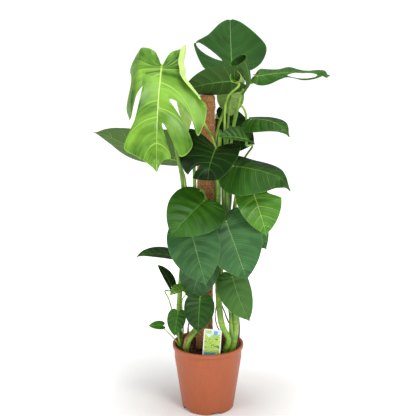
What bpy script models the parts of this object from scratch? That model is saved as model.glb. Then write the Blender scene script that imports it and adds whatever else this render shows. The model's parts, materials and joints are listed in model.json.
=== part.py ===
"""Potted monstera: four vines trained up a coir pole in a round plastic nursery pot.

Row frame: metres, +Z up, origin on the floor at the centre of the pot's base, -Y is the plant's front.
Every leaf is two pieces, a heart-shaped blade and the petiole (stalk) that carries it from its vine.
"""

import math

import bmesh
import bpy
import numpy as np

CLEARANCE = 0.0003  # gap left between pieces that touch

# Pot: an injection-moulded nursery pot
POT_HEIGHT = 0.223
POT_RIM_RADIUS = 0.120
POT_BASE_RADIUS = 0.088
POT_WALL = 0.0022
POT_FLOOR_THICKNESS = 0.003
POT_FLOOR_HEIGHT = 0.010  # underside of the floor above the ground
RIM_LIP_HEIGHT = 0.012
RIM_OVERHANG = 0.006  # how far the lip stands out from the neck under it
RIM_EDGE = 0.002  # rounding of the lip's upper edge
NECK_HEIGHT = 0.020
SHOULDER_DROP = 0.050  # stacking shoulder below the rim
SHOULDER_STEP = 0.0012
NOTCH_COUNT = 5
NOTCH_FIRST_DEG = -73.0
NOTCH_WIDTH = 0.034
NOTCH_HEIGHT = 0.008
DRAIN_COUNT = 6
DRAIN_RADIUS = 0.006
DRAIN_CIRCLE = 0.055
FOOT_PAD_RADIUS = 0.016
POT_SIDES = 48

# Soil
HEADSPACE = 0.020  # rim above the soil's edge
SOIL_LEVEL = POT_HEIGHT - HEADSPACE
SOIL_MOUND = 0.008
SOIL_GAP = 0.0009  # soil to pot wall
SOIL_RADIUS = POT_RIM_RADIUS - RIM_OVERHANG - POT_WALL - SOIL_GAP  # at its surface

# Coir pole: a coconut-fibre sleeve on a wooden core
POLE_RADIUS = 0.029
POLE_LENGTH = 0.849  # above the soil
POLE_TOP = SOIL_LEVEL + POLE_LENGTH
POLE_FOOT = (-0.013, 0.0)
POLE_HEAD = (-0.005, 0.0)
POLE_DEPTH = 0.090  # sleeve below the soil surface
POLE_SIDES = 24
CORE_RADIUS = 0.011
CORE_DEPTH = 0.150
CORE_SINK = 0.012  # core's top below the sleeve's

# Plant label
LABEL_WIDTH = 0.058
LABEL_HEIGHT = 0.094
LABEL_THICKNESS = 0.0008
LABEL_CORNER = 0.004
LABEL_RAISED = 0.002  # card's lower edge above the soil
STAKE_WIDTH = 0.020
STAKE_LENGTH = 0.055
LABEL_ACROSS = 0.010  # middle of the card to the right of the pot's axis
LABEL_WALL_GAP = 0.0025  # foot of the stake to the pot's front wall
LABEL_SIDE_GAP = 0.006  # right edge of the card to the middle of the vine that passes it
LABEL_TILT_DEG = 4.0  # leans to the right in its own plane
LABEL_LEAN_DEG = 8.0  # leans back

# Plant
BLADE_THICKNESS = 0.0010
BLADE_ROWS = 7  # along the margin, from sinus to tip, on each side
BLADE_COLUMNS = 3  # from midrib to margin
STEM_SIDES = 8
VINE_RINGS = 14
PETIOLE_SIDES = 6
PETIOLE_APPROACH = 0.022  # straight end of each petiole under its blade
ROOT_DEPTH = 0.028  # lower end of each vine below the soil surface

COLOURS = {
    "pot": (0.48, 0.13, 0.06),
    "soil": (0.030, 0.018, 0.012),
    "coir": (0.26, 0.11, 0.04),
    "wood": (0.40, 0.26, 0.13),
    "label": (0.70, 0.78, 0.68),
    "dark_leaf": (0.030, 0.115, 0.028),
    "fresh_leaf": (0.16, 0.36, 0.045),
    "petiole": (0.14, 0.27, 0.05),
    "vine": (0.11, 0.22, 0.05),
    "root": (0.08, 0.045, 0.03),
}


# ---------------------------------------------------------------- helpers
def clear_scene():
    for item in list(bpy.data.objects):
        bpy.data.objects.remove(item)


def material(name):
    found = bpy.data.materials.get(name)
    if found:
        return found
    made = bpy.data.materials.new(name)
    made.use_nodes = True
    shader = made.node_tree.nodes["Principled BSDF"]
    shader.inputs["Base Color"].default_value = (*COLOURS[name], 1.0)
    shader.inputs["Roughness"].default_value = 0.5
    shader.inputs["Metallic"].default_value = 0.0
    return made


def link(name, mesh, finish):
    made = bpy.data.objects.new(name, mesh)
    bpy.context.scene.collection.objects.link(made)
    if finish:
        mesh.materials.append(material(finish))
    return made


def spline(points, count):
    """Even samples of the Catmull-Rom curve through the points."""
    p = np.array(points, float)
    p = np.vstack([2 * p[0] - p[1], p, 2 * p[-1] - p[-2]])
    t = np.linspace(0, 1, 24, endpoint=False)[:, None]
    runs = []
    for a, b, c, d in zip(p[:-3], p[1:-2], p[2:-1], p[3:]):
        square, cube = 2 * a - 5 * b + 4 * c - d, 3 * b - a - 3 * c + d
        runs.append(0.5 * (2 * b + (c - a) * t + square * t**2 + cube * t**3))
    dense = np.vstack([*runs, p[-2]])
    along = np.r_[0, np.cumsum(np.linalg.norm(np.diff(dense, axis=0), axis=1))]
    return np.stack([np.interp(np.linspace(0, along[-1], count), along, c) for c in dense.T], axis=1)


def grown(item):
    """Plant pieces are modelled from the soil surface up, and stand on the plant empty there."""
    item.parent = bpy.data.objects["plant"]
    return item


def unit(v):
    v = np.array(v, float)
    return v / np.linalg.norm(v)


def tube(name, path, radii, sides, finish):
    """A closed round tube along the path, its radius running through radii from end to end."""
    path = np.array(path, float)
    count = len(path)
    radius = np.interp(np.linspace(0, 1, count), np.linspace(0, 1, len(radii)), radii)
    ahead = np.gradient(path, axis=0)
    ahead /= np.linalg.norm(ahead, axis=1)[:, None]
    side = np.cross(ahead[0], (0.31, 0.95, 0.05))
    frames = []
    for forward in ahead:
        side = unit(side - forward * (side @ forward))
        frames.append((side, np.cross(forward, side)))
    turn = np.linspace(0, 2 * math.pi, sides, endpoint=False)
    rings = [
        p + r * (np.cos(turn)[:, None] * s + np.sin(turn)[:, None] * u)
        for p, r, (s, u) in zip(path, radius, frames)
    ]
    faces = [tuple(reversed(range(sides)))]
    for i in range(count - 1):
        for k in range(sides):
            j = (k + 1) % sides
            faces.append((i * sides + k, i * sides + j, (i + 1) * sides + j, (i + 1) * sides + k))
    faces.append(tuple((count - 1) * sides + k for k in range(sides)))
    mesh = bpy.data.meshes.new(name)
    mesh.from_pydata(np.vstack(rings).tolist(), [], faces)
    mesh.shade_smooth()
    return link(name, mesh, finish)


def turned(name, profile, sides, finish):
    """A closed solid turned round Z from a closed (radius, height) profile."""
    body = bmesh.new()
    ring = [body.verts.new((r, 0, z)) for r, z in profile]
    edges = [body.edges.new((a, b)) for a, b in zip(ring, ring[1:] + ring[:1])]
    bmesh.ops.spin(
        body, geom=ring + edges, axis=(0, 0, 1), angle=2 * math.pi, steps=sides, use_merge=True
    )
    bmesh.ops.remove_doubles(body, verts=body.verts, dist=1e-5)
    bmesh.ops.recalc_face_normals(body, faces=body.faces)
    mesh = bpy.data.meshes.new(name)
    body.to_mesh(mesh)
    body.free()
    mesh.shade_smooth()
    mesh.set_sharp_from_angle(angle=math.radians(35))
    return link(name, mesh, finish)


def cut(target, cutter):
    cutter.hide_render = True
    cutter.display_type = "WIRE"
    modifier = target.modifiers.new("cut_" + cutter.name, "BOOLEAN")
    modifier.operation = "DIFFERENCE"
    modifier.solver = "EXACT"
    modifier.object = cutter


def block(name, size, centre, turn=0.0):
    body = bmesh.new()
    bmesh.ops.create_cube(body, size=1.0)
    bmesh.ops.scale(body, vec=size, verts=body.verts)
    mesh = bpy.data.meshes.new(name)
    body.to_mesh(mesh)
    body.free()
    made = link(name, mesh, None)
    made.location = centre
    made.rotation_euler = (0, 0, turn)
    return made


# ---------------------------------------------------------------- pot, soil, pole, label
def wall_radius(z):
    """Outer radius of the pot's plain tapered wall at height z."""
    neck = POT_RIM_RADIUS - RIM_OVERHANG
    return POT_BASE_RADIUS + (neck - SHOULDER_STEP - POT_BASE_RADIUS) * z / (POT_HEIGHT - SHOULDER_DROP)


def build_pot():
    neck = POT_RIM_RADIUS - RIM_OVERHANG
    lip_low = POT_HEIGHT - RIM_LIP_HEIGHT
    shoulder = POT_HEIGHT - SHOULDER_DROP
    floor_low, floor_top = POT_FLOOR_HEIGHT, POT_FLOOR_HEIGHT + POT_FLOOR_THICKNESS
    outside = [
        (POT_RIM_RADIUS - RIM_EDGE, POT_HEIGHT),
        (POT_RIM_RADIUS, POT_HEIGHT - RIM_EDGE),
        (POT_RIM_RADIUS, lip_low),
        (POT_RIM_RADIUS - RIM_OVERHANG / 2, lip_low - RIM_OVERHANG / 2),
        (neck, POT_HEIGHT - NECK_HEIGHT),
        (neck - SHOULDER_STEP, shoulder + SHOULDER_STEP),
        (wall_radius(shoulder), shoulder),
        (POT_BASE_RADIUS, 0.0),
    ]
    underside = [
        (POT_BASE_RADIUS - POT_WALL, 0.0),
        (wall_radius(floor_low) - POT_WALL, floor_low),
        (FOOT_PAD_RADIUS, floor_low),
        (FOOT_PAD_RADIUS, 0.0),
        (0.0, 0.0),
    ]
    inside = [
        (0.0, floor_top),
        (wall_radius(floor_top) - POT_WALL, floor_top),
        (wall_radius(shoulder) - POT_WALL, shoulder + POT_WALL),
        (neck - POT_WALL, shoulder + 2 * POT_WALL),
        (neck - POT_WALL, POT_HEIGHT),
    ]
    pot = turned("pot", outside + underside + inside, POT_SIDES, "pot")
    for i in range(NOTCH_COUNT):
        angle = math.radians(NOTCH_FIRST_DEG + 360 / NOTCH_COUNT * i)
        size = (6 * POT_WALL, NOTCH_WIDTH, 2 * NOTCH_HEIGHT)
        reach = POT_BASE_RADIUS - POT_WALL / 2
        cut(pot, block(f"notch_{i}", size, (reach * math.cos(angle), reach * math.sin(angle), 0), angle))
    for i in range(DRAIN_COUNT):
        angle = 2 * math.pi * (i + 0.5) / DRAIN_COUNT
        x, y = DRAIN_CIRCLE * math.cos(angle), DRAIN_CIRCLE * math.sin(angle)
        hole = tube(f"drain_{i}", [(x, y, 0), (x, y, 2 * floor_top)], [DRAIN_RADIUS], 12, None)
        cut(pot, hole)
    return pot


def soil_top(x, y):
    """Height of the soil surface, which is mounded towards the middle."""
    return SOIL_LEVEL + SOIL_MOUND * max(0.0, 1 - (x * x + y * y) / SOIL_RADIUS**2)


def build_soil(cutters):
    shoulder = POT_HEIGHT - SHOULDER_DROP
    low = POT_FLOOR_HEIGHT + POT_FLOOR_THICKNESS + CLEARANCE
    gap = POT_WALL + SOIL_GAP
    profile = [(0.0, soil_top(0, 0))]
    for share in (0.35, 0.7, 1.0):
        profile.append((SOIL_RADIUS * share, soil_top(SOIL_RADIUS * share, 0)))
    profile += [
        (SOIL_RADIUS, shoulder + 3 * POT_WALL),
        (wall_radius(shoulder) - gap, shoulder),
        (wall_radius(low) - gap, low),
        (0.0, low),
    ]
    soil = turned("soil", profile, POT_SIDES, "soil")
    for cutter in cutters:
        cut(soil, cutter)
    return soil


def pole_axis(z):
    share = (z - SOIL_LEVEL) / (POLE_TOP - SOIL_LEVEL)
    return tuple(a + (b - a) * share for a, b in zip(POLE_FOOT, POLE_HEAD)) + (z,)


def build_pole(cutters):
    low = SOIL_LEVEL - POLE_DEPTH
    sleeve = tube("coir_sleeve", [pole_axis(low), pole_axis(POLE_TOP)], [POLE_RADIUS], POLE_SIDES, "coir")
    bore_path = [pole_axis(low - CORE_SINK), pole_axis(POLE_TOP + CORE_SINK)]
    cut(sleeve, tube("core_bore", bore_path, [CORE_RADIUS + CLEARANCE], 12, None))
    core_low, core_top = SOIL_LEVEL - CORE_DEPTH, POLE_TOP - CORE_SINK
    tube("pole_core", [pole_axis(core_low), pole_axis(core_top)], [CORE_RADIUS], 12, "wood")
    socket = [pole_axis(low - CLEARANCE), pole_axis(SOIL_LEVEL + 2 * SOIL_MOUND)]
    cutters.append(tube("sleeve_socket", socket, [POLE_RADIUS + CLEARANCE], POLE_SIDES, None))
    socket = [pole_axis(core_low - CLEARANCE), pole_axis(SOIL_LEVEL)]
    cutters.append(tube("core_socket", socket, [CORE_RADIUS + CLEARANCE], 12, None))


def label_outline(grow):
    """The card with rounded top corners and its pointed stake, as (across, up) points."""
    half, stake = LABEL_WIDTH / 2 + grow, STAKE_WIDTH / 2 + grow
    foot, top = -STAKE_LENGTH - grow, LABEL_HEIGHT + grow
    across, high = half - LABEL_CORNER, top - LABEL_CORNER
    corner = LABEL_CORNER * np.array([(math.cos(a), math.sin(a)) for a in np.radians([0, 30, 60, 90])])
    half_outline = [(0.0, foot), (stake, foot + STAKE_WIDTH / 2), (stake, -grow), (across, -grow)]
    half_outline.append((half, LABEL_CORNER))
    half_outline += [(across + x, high + z) for x, z in corner]
    return half_outline + [(-x, z) for x, z in reversed(half_outline[1:])]


def label_body(name, grow, finish):
    body = bmesh.new()
    depth = LABEL_THICKNESS / 2 + grow
    front = body.faces.new([body.verts.new((x, -depth, z)) for x, z in label_outline(grow)])
    made = bmesh.ops.extrude_face_region(body, geom=[front])
    back = [v for v in made["geom"] if isinstance(v, bmesh.types.BMVert)]
    bmesh.ops.translate(body, vec=(0, 2 * depth, 0), verts=back)
    bmesh.ops.recalc_face_normals(body, faces=body.faces)
    mesh = bpy.data.meshes.new(name)
    body.to_mesh(mesh)
    body.free()
    label = link(name, mesh, finish)
    wall = wall_radius(SOIL_LEVEL - STAKE_LENGTH) - POT_WALL
    x = LABEL_ACROSS
    y = LABEL_WALL_GAP + STAKE_LENGTH * math.sin(math.radians(LABEL_LEAN_DEG)) - wall
    label.location = (x, y, soil_top(x, y) + LABEL_RAISED)
    label.rotation_euler = (math.radians(-LABEL_LEAN_DEG), math.radians(LABEL_TILT_DEG), 0)
    return label


# ---------------------------------------------------------------- blades
# Half outline of a heart-shaped blade, as shares of its half width and of its length from the junction
HEART = [
    (0.00, 0.000),
    (0.11, -0.085),
    (0.30, -0.150),
    (0.54, -0.155),
    (0.78, -0.075),
    (0.95, 0.070),
    (1.00, 0.240),
    (0.94, 0.420),
    (0.77, 0.600),
    (0.52, 0.760),
    (0.27, 0.880),
    (0.09, 0.955),
    (0.00, 1.000),
]
FIRST_VEIN = 0.38  # share of the margin fed by veins that all leave the junction
VEIN_START = 0.012  # share of the midrib that those first veins spread over
VEIN_REACH = 1.25
CUT_FLARE = 2.2  # how far along the margin a slit pushes its edges apart, in slit widths
MARGIN_SAMPLES = 160
# The great leaf's halves differ: one hangs straight down, the other spreads in three fingers
GREAT_HANGING = [(0, 0), (0.08, -0.09), (0.24, -0.165), (0.5, -0.15), (0.72, -0.03), (0.78, 0.15),
                 (0.72, 0.33), (0.62, 0.5), (0.72, 0.66), (0.76, 0.79), (0.52, 0.86), (0.22, 0.94), (0, 1)]
GREAT_SPREAD = [(0, 0), (0.1, -0.12), (0.4, -0.22), (0.62, -0.1), (0.74, 0.08), (0.94, 0.26), (1.0, 0.42),
                (0.85, 0.62), (0.68, 0.74), (0.4, 0.85), (0.26, 0.9), (0.1, 0.96), (0, 1)]
# The top leaf is broad, with a blunt tip and one finger at its lower left
TOP_LEFT = [(0, 0), (0.3, -0.12), (0.75, -0.12), (0.98, 0.1), (1.04, 0.42), (1.0, 0.56), (0.75, 0.76),
            (0.42, 0.93), (0.15, 1.0), (0, 1)]
TOP_RIGHT = [(0, 0), (0.35, -0.12), (0.68, -0.02), (0.86, 0.18), (0.88, 0.42), (0.68, 0.72), (0.36, 0.94),
             (0.12, 1.01), (0, 1)]


def margin(outline, count):
    """Even samples along a half outline, and the share of its run at each of the outline's own points."""
    dense = spline(outline, count)
    own = []
    for x, y in outline:
        own.append(np.argmin((dense[:, 0] - x) ** 2 + (dense[:, 1] - y) ** 2) / (count - 1))
    return dense, own


def blade_rows(side, rows, columns, cuts, own):
    """Margin share at each grid point, one grid per finger: a cut ends one finger and starts the next."""
    share = np.linspace(0, 1, rows + 1)
    mine = [(own[at], depth, gap) for which, at, depth, gap in cuts if which == side]
    b = np.unique(np.r_[np.linspace(0, 1, columns + 1), [depth for _, depth, _ in mine]])
    pieces = [share]
    for at, _, _ in mine:
        last = pieces.pop()
        pieces += [np.r_[last[last < at - 0.02], at], np.r_[at, last[last > at + 0.02]]]
    made = []
    for share in pieces:
        grid = np.repeat(share[:, None], len(b), axis=1)
        for at, depth, gap in mine:
            width = gap * np.sqrt(np.clip((b - depth) / (1 - depth), 0, 1))
            near = np.clip(1 - np.abs(share - at) / (CUT_FLARE * gap), 0, 1)[:, None]
            grid = grid + (-0.5 if share.mean() < at else 0.5) * width[None, :] * near
        made.append(grid)
    return made, b[None, :]


def blade_flat(a, b, edge, veins):
    """Flat place of each grid point: veins leave the midrib and sweep forward to the margin."""
    share = np.linspace(0, 1, len(edge))
    ex, ey = np.interp(a, share, edge[:, 0]), np.interp(a, share, edge[:, 1])
    late = np.clip((a - FIRST_VEIN) / (1 - FIRST_VEIN), 0, 1) ** VEIN_REACH
    start = VEIN_START + (1 - VEIN_START) * late
    cx, cy = veins[0] * ex, start + veins[1] * (ey - start)
    return 2 * cx * b * (1 - b) + ex * b**2, start * (1 - b) ** 2 + 2 * cy * b * (1 - b) + ey * b**2


def blade_sheet(junction, tip, face, width, bow=0.05, fold=(0, 0), curl=(0, 0), lobes=(0, 0), twist=0.0,
                wave=0.0, cuts=(), outline=(HEART, HEART), veins=(0.55, 0.30), rows=BLADE_ROWS,
                columns=BLADE_COLUMNS):
    """Grids of points for the mid-surface of one blade.

    The midrib is a parabola from junction to tip that bows towards the upper face. Each half turns up from
    it by fold degrees, and by curl degrees more at the margin; the basal lobes lift by lobes metres. In a
    pair of values the first is for the left half, seen from above with the tip pointing away.
    """
    junction, tip = np.array(junction, float), np.array(tip, float)
    length = np.linalg.norm(tip - junction)
    ahead = (tip - junction) / length
    up = unit(np.array(face, float) - ahead * (np.array(face, float) @ ahead))
    right = np.cross(ahead, up)
    grids = []
    for side, sign in ((0, -1.0), (1, 1.0)):
        edge, own = margin(outline[side], MARGIN_SAMPLES)
        pieces, b = blade_rows(side, rows, columns, cuts, own)
        for a in pieces:
            x, y = blade_flat(a, b, edge, veins)
            slope = (4 * bow * (1 - 2 * y))[..., None]
            tangent = ahead + slope * up
            tangent /= np.linalg.norm(tangent, axis=-1)[..., None]
            normal = np.cross(right, tangent)
            turn = np.radians(twist * y)[..., None]
            across = right * np.cos(turn) + normal * np.sin(turn)
            normal = normal * np.cos(turn) - right * np.sin(turn)
            first, more = math.radians(fold[side]), math.radians(curl[side]) + 1e-4
            half = width / 2
            out = half / more * (np.sin(first + more * x) - math.sin(first))
            lift = -half / more * (np.cos(first + more * x) - math.cos(first))
            lift = lift + lobes[side] * x * np.clip((0.30 - y) / 0.45, 0, 1) ** 2
            lift = lift + wave * np.sin(9.5 * a + 1.7 * side) * b**2
            spine = junction + (length * y)[..., None] * ahead
            spine = spine + (4 * bow * length * y * (1 - y))[..., None] * up
            grids.append((sign, spine + sign * out[..., None] * across + lift[..., None] * normal))
    return grids, ahead, up


def blade(name, finish, **shape):
    grids, ahead, up = blade_sheet(**shape)
    points, faces, start = [], [], 0
    for sign, grid in grids:
        rows, columns = grid.shape[:2]
        points.append(grid.reshape(-1, 3))
        i = start + (np.arange(rows - 1)[:, None] * columns + np.arange(columns - 1)).reshape(-1)
        quad = np.stack([i, i + 1, i + columns + 1, i + columns], axis=1)
        faces.append(quad if sign > 0 else quad[:, ::-1])
        start += rows * columns
    body = bmesh.new()
    mesh = bpy.data.meshes.new(name)
    mesh.from_pydata(np.vstack(points).tolist(), [], np.vstack(faces).tolist())
    body.from_mesh(mesh)
    bmesh.ops.remove_doubles(body, verts=body.verts, dist=2e-4)
    bmesh.ops.triangulate(body, faces=body.faces)
    body.to_mesh(mesh)
    body.free()
    mesh.shade_smooth()
    made = grown(link(name, mesh, finish))
    solid = made.modifiers.new("thickness", "SOLIDIFY")
    solid.thickness = BLADE_THICKNESS
    solid.offset = 0.0
    return ahead, up


# ---------------------------------------------------------------- vines
# Each vine: the compass angle and share of the soil's radius where it is rooted, the points it climbs
# through above the pot, and its radius from root to top
VINES = {
    "vine_pole": (
        (-44, 0.72),
        [(0.067, -0.074, 0.060), (LABEL_ACROSS + LABEL_WIDTH / 2 + LABEL_SIDE_GAP, -0.078, 0.112),
         (0.034, -0.066, 0.207), (0.032, -0.036, 0.357), (0.034, -0.028, 0.557), (0.038, -0.026, 0.737)],
        [0.009, 0.010, 0.0095, 0.008, 0.006],
    ),
    "vine_right": (
        (-29, 0.83),
        [(0.087, -0.047, 0.070), (0.088, -0.046, 0.167), (0.072, -0.022, 0.297), (0.070, -0.006, 0.437)],
        [0.011, 0.0135, 0.012, 0.009, 0.007],
    ),
    "vine_left": (
        (218, 0.84),
        [(-0.062, -0.070, 0.060), (-0.032, -0.066, 0.109), (-0.034, -0.052, 0.217), (-0.052, -0.034, 0.357),
         (-0.056, -0.022, 0.517)],
        [0.009, 0.011, 0.0105, 0.009, 0.007],
    ),
    "vine_outer": (
        (193, 0.82),
        [(-0.098, -0.020, 0.097), (-0.092, -0.008, 0.227), (-0.078, 0.008, 0.377)],
        [0.008, 0.009, 0.008, 0.006],
    ),
}


def vine_path(name):
    """The vine's centre line and its radius along it."""
    (angle, share), climb, radii = VINES[name]
    x, y = (share * SOIL_RADIUS * f(math.radians(angle)) for f in (math.cos, math.sin))
    path = spline([(x, y, -ROOT_DEPTH), (x, y, HEADSPACE / 2), *climb], VINE_RINGS)
    return path, np.interp(np.linspace(0, 1, VINE_RINGS), np.linspace(0, 1, len(radii)), radii)


def beside(vine, height, toward, radius):
    """Centre of a stalk of this radius that lies against the vine at this height, on toward's side."""
    path, thick = vine_path(vine)
    spot = np.array([np.interp(height, path[:, 2], axis) for axis in path.T])
    out = unit([toward[0] - spot[0], toward[1] - spot[1], 0])
    return spot + out * (np.interp(height, path[:, 2], thick) + radius + 3 * CLEARANCE)


def petiole(name, route, radii, junction, ahead, up, droop):
    """The stalk: through the route, then up to just under the blade's junction, swelling at both ends."""
    foot, top = radii
    arrive = unit(ahead * droop + up)
    drop = BLADE_THICKNESS / 2 + 2 * CLEARANCE + top * abs(droop) / math.hypot(1, droop)
    end = np.array(junction, float) - up * drop
    near = end - arrive * PETIOLE_APPROACH
    path = spline([*route, near, end], 3 + 3 * len(route))
    radii = [foot, 0.4 * foot + 0.6 * top, 0.92 * top, 0.9 * top, top]
    grown(tube(name, path, radii, PETIOLE_SIDES, "petiole"))


def leaf(name, vine, height, route, radii=(0.005, 0.0035), droop=0.4, finish="dark_leaf", **shape):
    """One leaf: its blade, and the petiole that leaves the vine at this height and follows the route."""
    ahead, up = blade("blade_" + name, finish, **shape)
    start = beside(vine, height, route[0], radii[0])
    petiole("petiole_" + name, [start, *route], radii, shape["junction"], ahead, up, droop)


def build_vines(cutters):
    for name, (_, _, radii) in VINES.items():
        path, thick = vine_path(name)
        grown(tube(name, path, radii, STEM_SIDES, "vine"))
        first = path[0] - unit(path[1] - path[0]) * CLEARANCE
        wide = [radii[0] + 2 * CLEARANCE, thick[3] + 2 * CLEARANCE]
        cutters.append(grown(tube(name + "_socket", [first, *path[1:4]], wide, STEM_SIDES, None)))


def build_leaves():
    """Places are metres from the pot's axis and above the soil, as are the heights up the vines."""
    leaf("top", "vine_pole", 0.437, junction=(0.076, 0.010, 0.935), tip=(0.073, 0.130, 1.095),
         face=(0, -1, 0.25), width=0.225, bow=-0.05, fold=(4, 4), curl=(6, 10), wave=0.003,
         outline=(TOP_LEFT, TOP_RIGHT), cuts=((0, 4, 0.30, 0.06),), rows=9,
         route=[(0.056, -0.006, 0.497), (0.060, -0.010, 0.657), (0.066, -0.006, 0.787),
                (0.076, 0.002, 0.867)])
    leaf("right", "vine_pole", 0.387, junction=(0.158, -0.030, 0.905), tip=(0.367, -0.110, 0.903),
         face=(0, -0.45, 1), width=0.105, bow=0.03, fold=(10, -10), curl=(10, -20), wave=0.005, twist=20,
         route=[(0.062, -0.054, 0.457), (0.063, -0.056, 0.637), (0.092, -0.040, 0.797),
                (0.112, -0.034, 0.872)], droop=0.9)
    leaf("behind_top", "vine_pole", 0.427, junction=(0.066, -0.070, 0.889), tip=(-0.062, -0.052, 0.885),
         face=(0, 0.65, 0.75), width=0.150, bow=0.05, fold=(4, 4), curl=(10, 10),
         route=[(0.052, -0.046, 0.497), (0.053, -0.048, 0.677), (0.056, -0.060, 0.827)])
    leaf("great", "vine_outer", 0.337, junction=(-0.141, -0.090, 0.934), tip=(-0.152, -0.195, 0.624),
         face=(0.1, -1, 0.35), width=0.300, bow=0.07, fold=(4, 0), curl=(-20, -40), wave=0.005,
         outline=(GREAT_SPREAD, GREAT_HANGING), veins=(0.75, 0.15),
         cuts=((0, 7, 0.40, 0.07), (0, 9, 0.35, 0.04), (1, 7, 0.50, 0.05)), rows=14, columns=4,
         route=[(-0.086, -0.024, 0.397), (-0.080, -0.050, 0.557), (-0.107, -0.060, 0.720),
                (-0.130, -0.058, 0.857)], radii=(0.007, 0.005), finish="fresh_leaf")
    leaf("left_back", "vine_outer", 0.327, junction=(-0.090, 0.038, 0.642), tip=(-0.367, 0.060, 0.731),
         face=(0, 0.7, 0.75), width=0.200, bow=0.05, fold=(6, 6), curl=(6, 6),
         route=[(-0.070, 0.026, 0.397), (-0.074, 0.030, 0.557)])
    leaf("centre", "vine_left", 0.457, junction=(0.024, -0.075, 0.685), tip=(-0.006, -0.190, 0.601),
         face=(-0.1, -0.5, 0.85), width=0.185, bow=0.04, fold=(22, 26), curl=(8, 4),
         cuts=((1, 5, 0.5, 0.05),), lobes=(0.0, 0.02),
         route=[(-0.042, -0.048, 0.517), (-0.044, -0.044, 0.697), (-0.028, -0.048, 0.772),
                (0.000, -0.056, 0.742)], droop=1.0)
    leaf("right_high", "vine_pole", 0.397, junction=(0.135, -0.030, 0.766), tip=(0.236, -0.110, 0.715),
         face=(0, -0.4, 0.95), width=0.140, bow=0.10, fold=(8, -4), curl=(8, 30), wave=0.004,
         route=[(0.071, -0.012, 0.497), (0.078, -0.012, 0.697), (0.092, -0.010, 0.812),
                (0.116, -0.018, 0.803)], droop=1.0)
    leaf("front_curl", "vine_right", 0.397, junction=(0.122, -0.070, 0.714), tip=(0.030, -0.110, 0.725),
         face=(0, -0.6, 0.8), width=0.080, bow=0.03, fold=(14, 14), curl=(20, 20),
         route=[(0.086, -0.026, 0.497), (0.110, 0.004, 0.627), (0.142, -0.020, 0.687)])
    leaf("behind_petioles", "vine_right", 0.367, junction=(0.070, 0.060, 0.772),
         tip=(0.160, 0.070, 0.675), face=(0, -1, 0.2), width=0.170, bow=0.04, fold=(4, 4), curl=(6, 6),
         route=[(0.056, 0.032, 0.437), (0.058, 0.044, 0.617)])
    leaf("pale_back", "vine_pole", 0.457, junction=(0.092, 0.030, 0.867), tip=(0.078, 0.034, 0.794),
         face=(0, 1, 0.2), width=0.070, bow=0.05, fold=(10, 10), curl=(10, 10), finish="fresh_leaf",
         route=[(0.040, 0.030, 0.517), (0.044, 0.024, 0.697), (0.058, 0.024, 0.797)])
    leaf("right_mid", "vine_right", 0.327, junction=(0.079, -0.062, 0.629), tip=(0.260, -0.125, 0.552),
         face=(0.1, -0.6, 0.8), width=0.175, bow=0.06, fold=(10, 8), curl=(4, -8), wave=0.004,
         route=[(0.090, -0.052, 0.397), (0.088, -0.056, 0.517)], droop=-0.3)
    leaf("bright_right", "vine_right", 0.237, junction=(0.138, -0.072, 0.559), tip=(0.184, -0.125, 0.416),
         face=(0.1, -0.9, 0.3), width=0.160, bow=0.05, fold=(6, 8), curl=(4, 4), finish="fresh_leaf",
         cuts=((0, 5, 0.50, 0.08),), lobes=(0.02, 0),
         route=[(0.096, -0.044, 0.317), (0.106, -0.046, 0.447)])
    leaf("front_mid", "vine_left", 0.287, junction=(-0.016, -0.085, 0.523), tip=(-0.116, -0.185, 0.423),
         face=(0.0, -0.85, 0.5), width=0.180, bow=0.06, fold=(6, 6), curl=(4, 4),
         route=[(-0.058, -0.048, 0.357), (-0.040, -0.056, 0.477), (-0.022, -0.058, 0.552)], droop=1.0)
    leaf("front_left", "vine_left", 0.217, junction=(-0.056, -0.118, 0.442), tip=(-0.006, -0.160, 0.265),
         face=(-0.1, -0.9, 0.3), width=0.165, bow=0.04, fold=(6, 6), curl=(4, 4),
         route=[(-0.070, -0.046, 0.277), (-0.070, -0.056, 0.377)])
    leaf("front_right", "vine_pole", 0.217, junction=(0.058, -0.088, 0.456), tip=(0.122, -0.160, 0.279),
         face=(0.05, -0.95, 0.2), width=0.176, bow=0.06, fold=(4, 4), curl=(4, 4),
         route=[(0.044, -0.064, 0.277), (0.048, -0.070, 0.377)])
    leaf("back_right", "vine_right", 0.217, junction=(0.110, 0.055, 0.452), tip=(0.198, 0.030, 0.335),
         face=(0.5, -0.8, 0.3), width=0.130, bow=0.05, fold=(4, 4), curl=(4, 4),
         route=[(0.086, 0.014, 0.277), (0.088, 0.030, 0.377)])
    leaf("back_left", "vine_outer", 0.187, junction=(-0.112, 0.028, 0.352), tip=(-0.240, 0.000, 0.314),
         face=(0, -0.1, 1), width=0.070, bow=0.04, fold=(8, 8), curl=(4, 4),
         route=[(-0.094, 0.010, 0.237), (-0.092, 0.018, 0.297)])
    leaf("low_centre", "vine_left", 0.137, junction=(-0.016, -0.070, 0.329), tip=(-0.057, -0.080, 0.188),
         face=(-0.1, -1, 0.2), width=0.130, bow=0.03, fold=(5, 5), curl=(4, 4),
         route=[(-0.014, -0.050, 0.197), (-0.014, -0.056, 0.267)])
    leaf("low_right", "vine_right", 0.077, junction=(0.088, -0.090, 0.274), tip=(0.137, -0.135, 0.142),
         face=(-0.15, -0.85, 0.4), width=0.128, bow=0.06, fold=(8, 8), curl=(4, 4),
         route=[(0.074, -0.068, 0.127), (0.070, -0.068, 0.197)])
    leaf("low_heart", "vine_left", 0.132, junction=(-0.022, -0.122, 0.209), tip=(-0.022, -0.150, 0.113),
         face=(0, -0.95, 0.25), width=0.104, bow=0.05, fold=(8, 8), curl=(6, 6), radii=(0.004, 0.003),
         route=[(-0.018, -0.070, 0.167), (-0.018, -0.084, 0.177), (-0.020, -0.104, 0.212)], droop=0.2)
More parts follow.
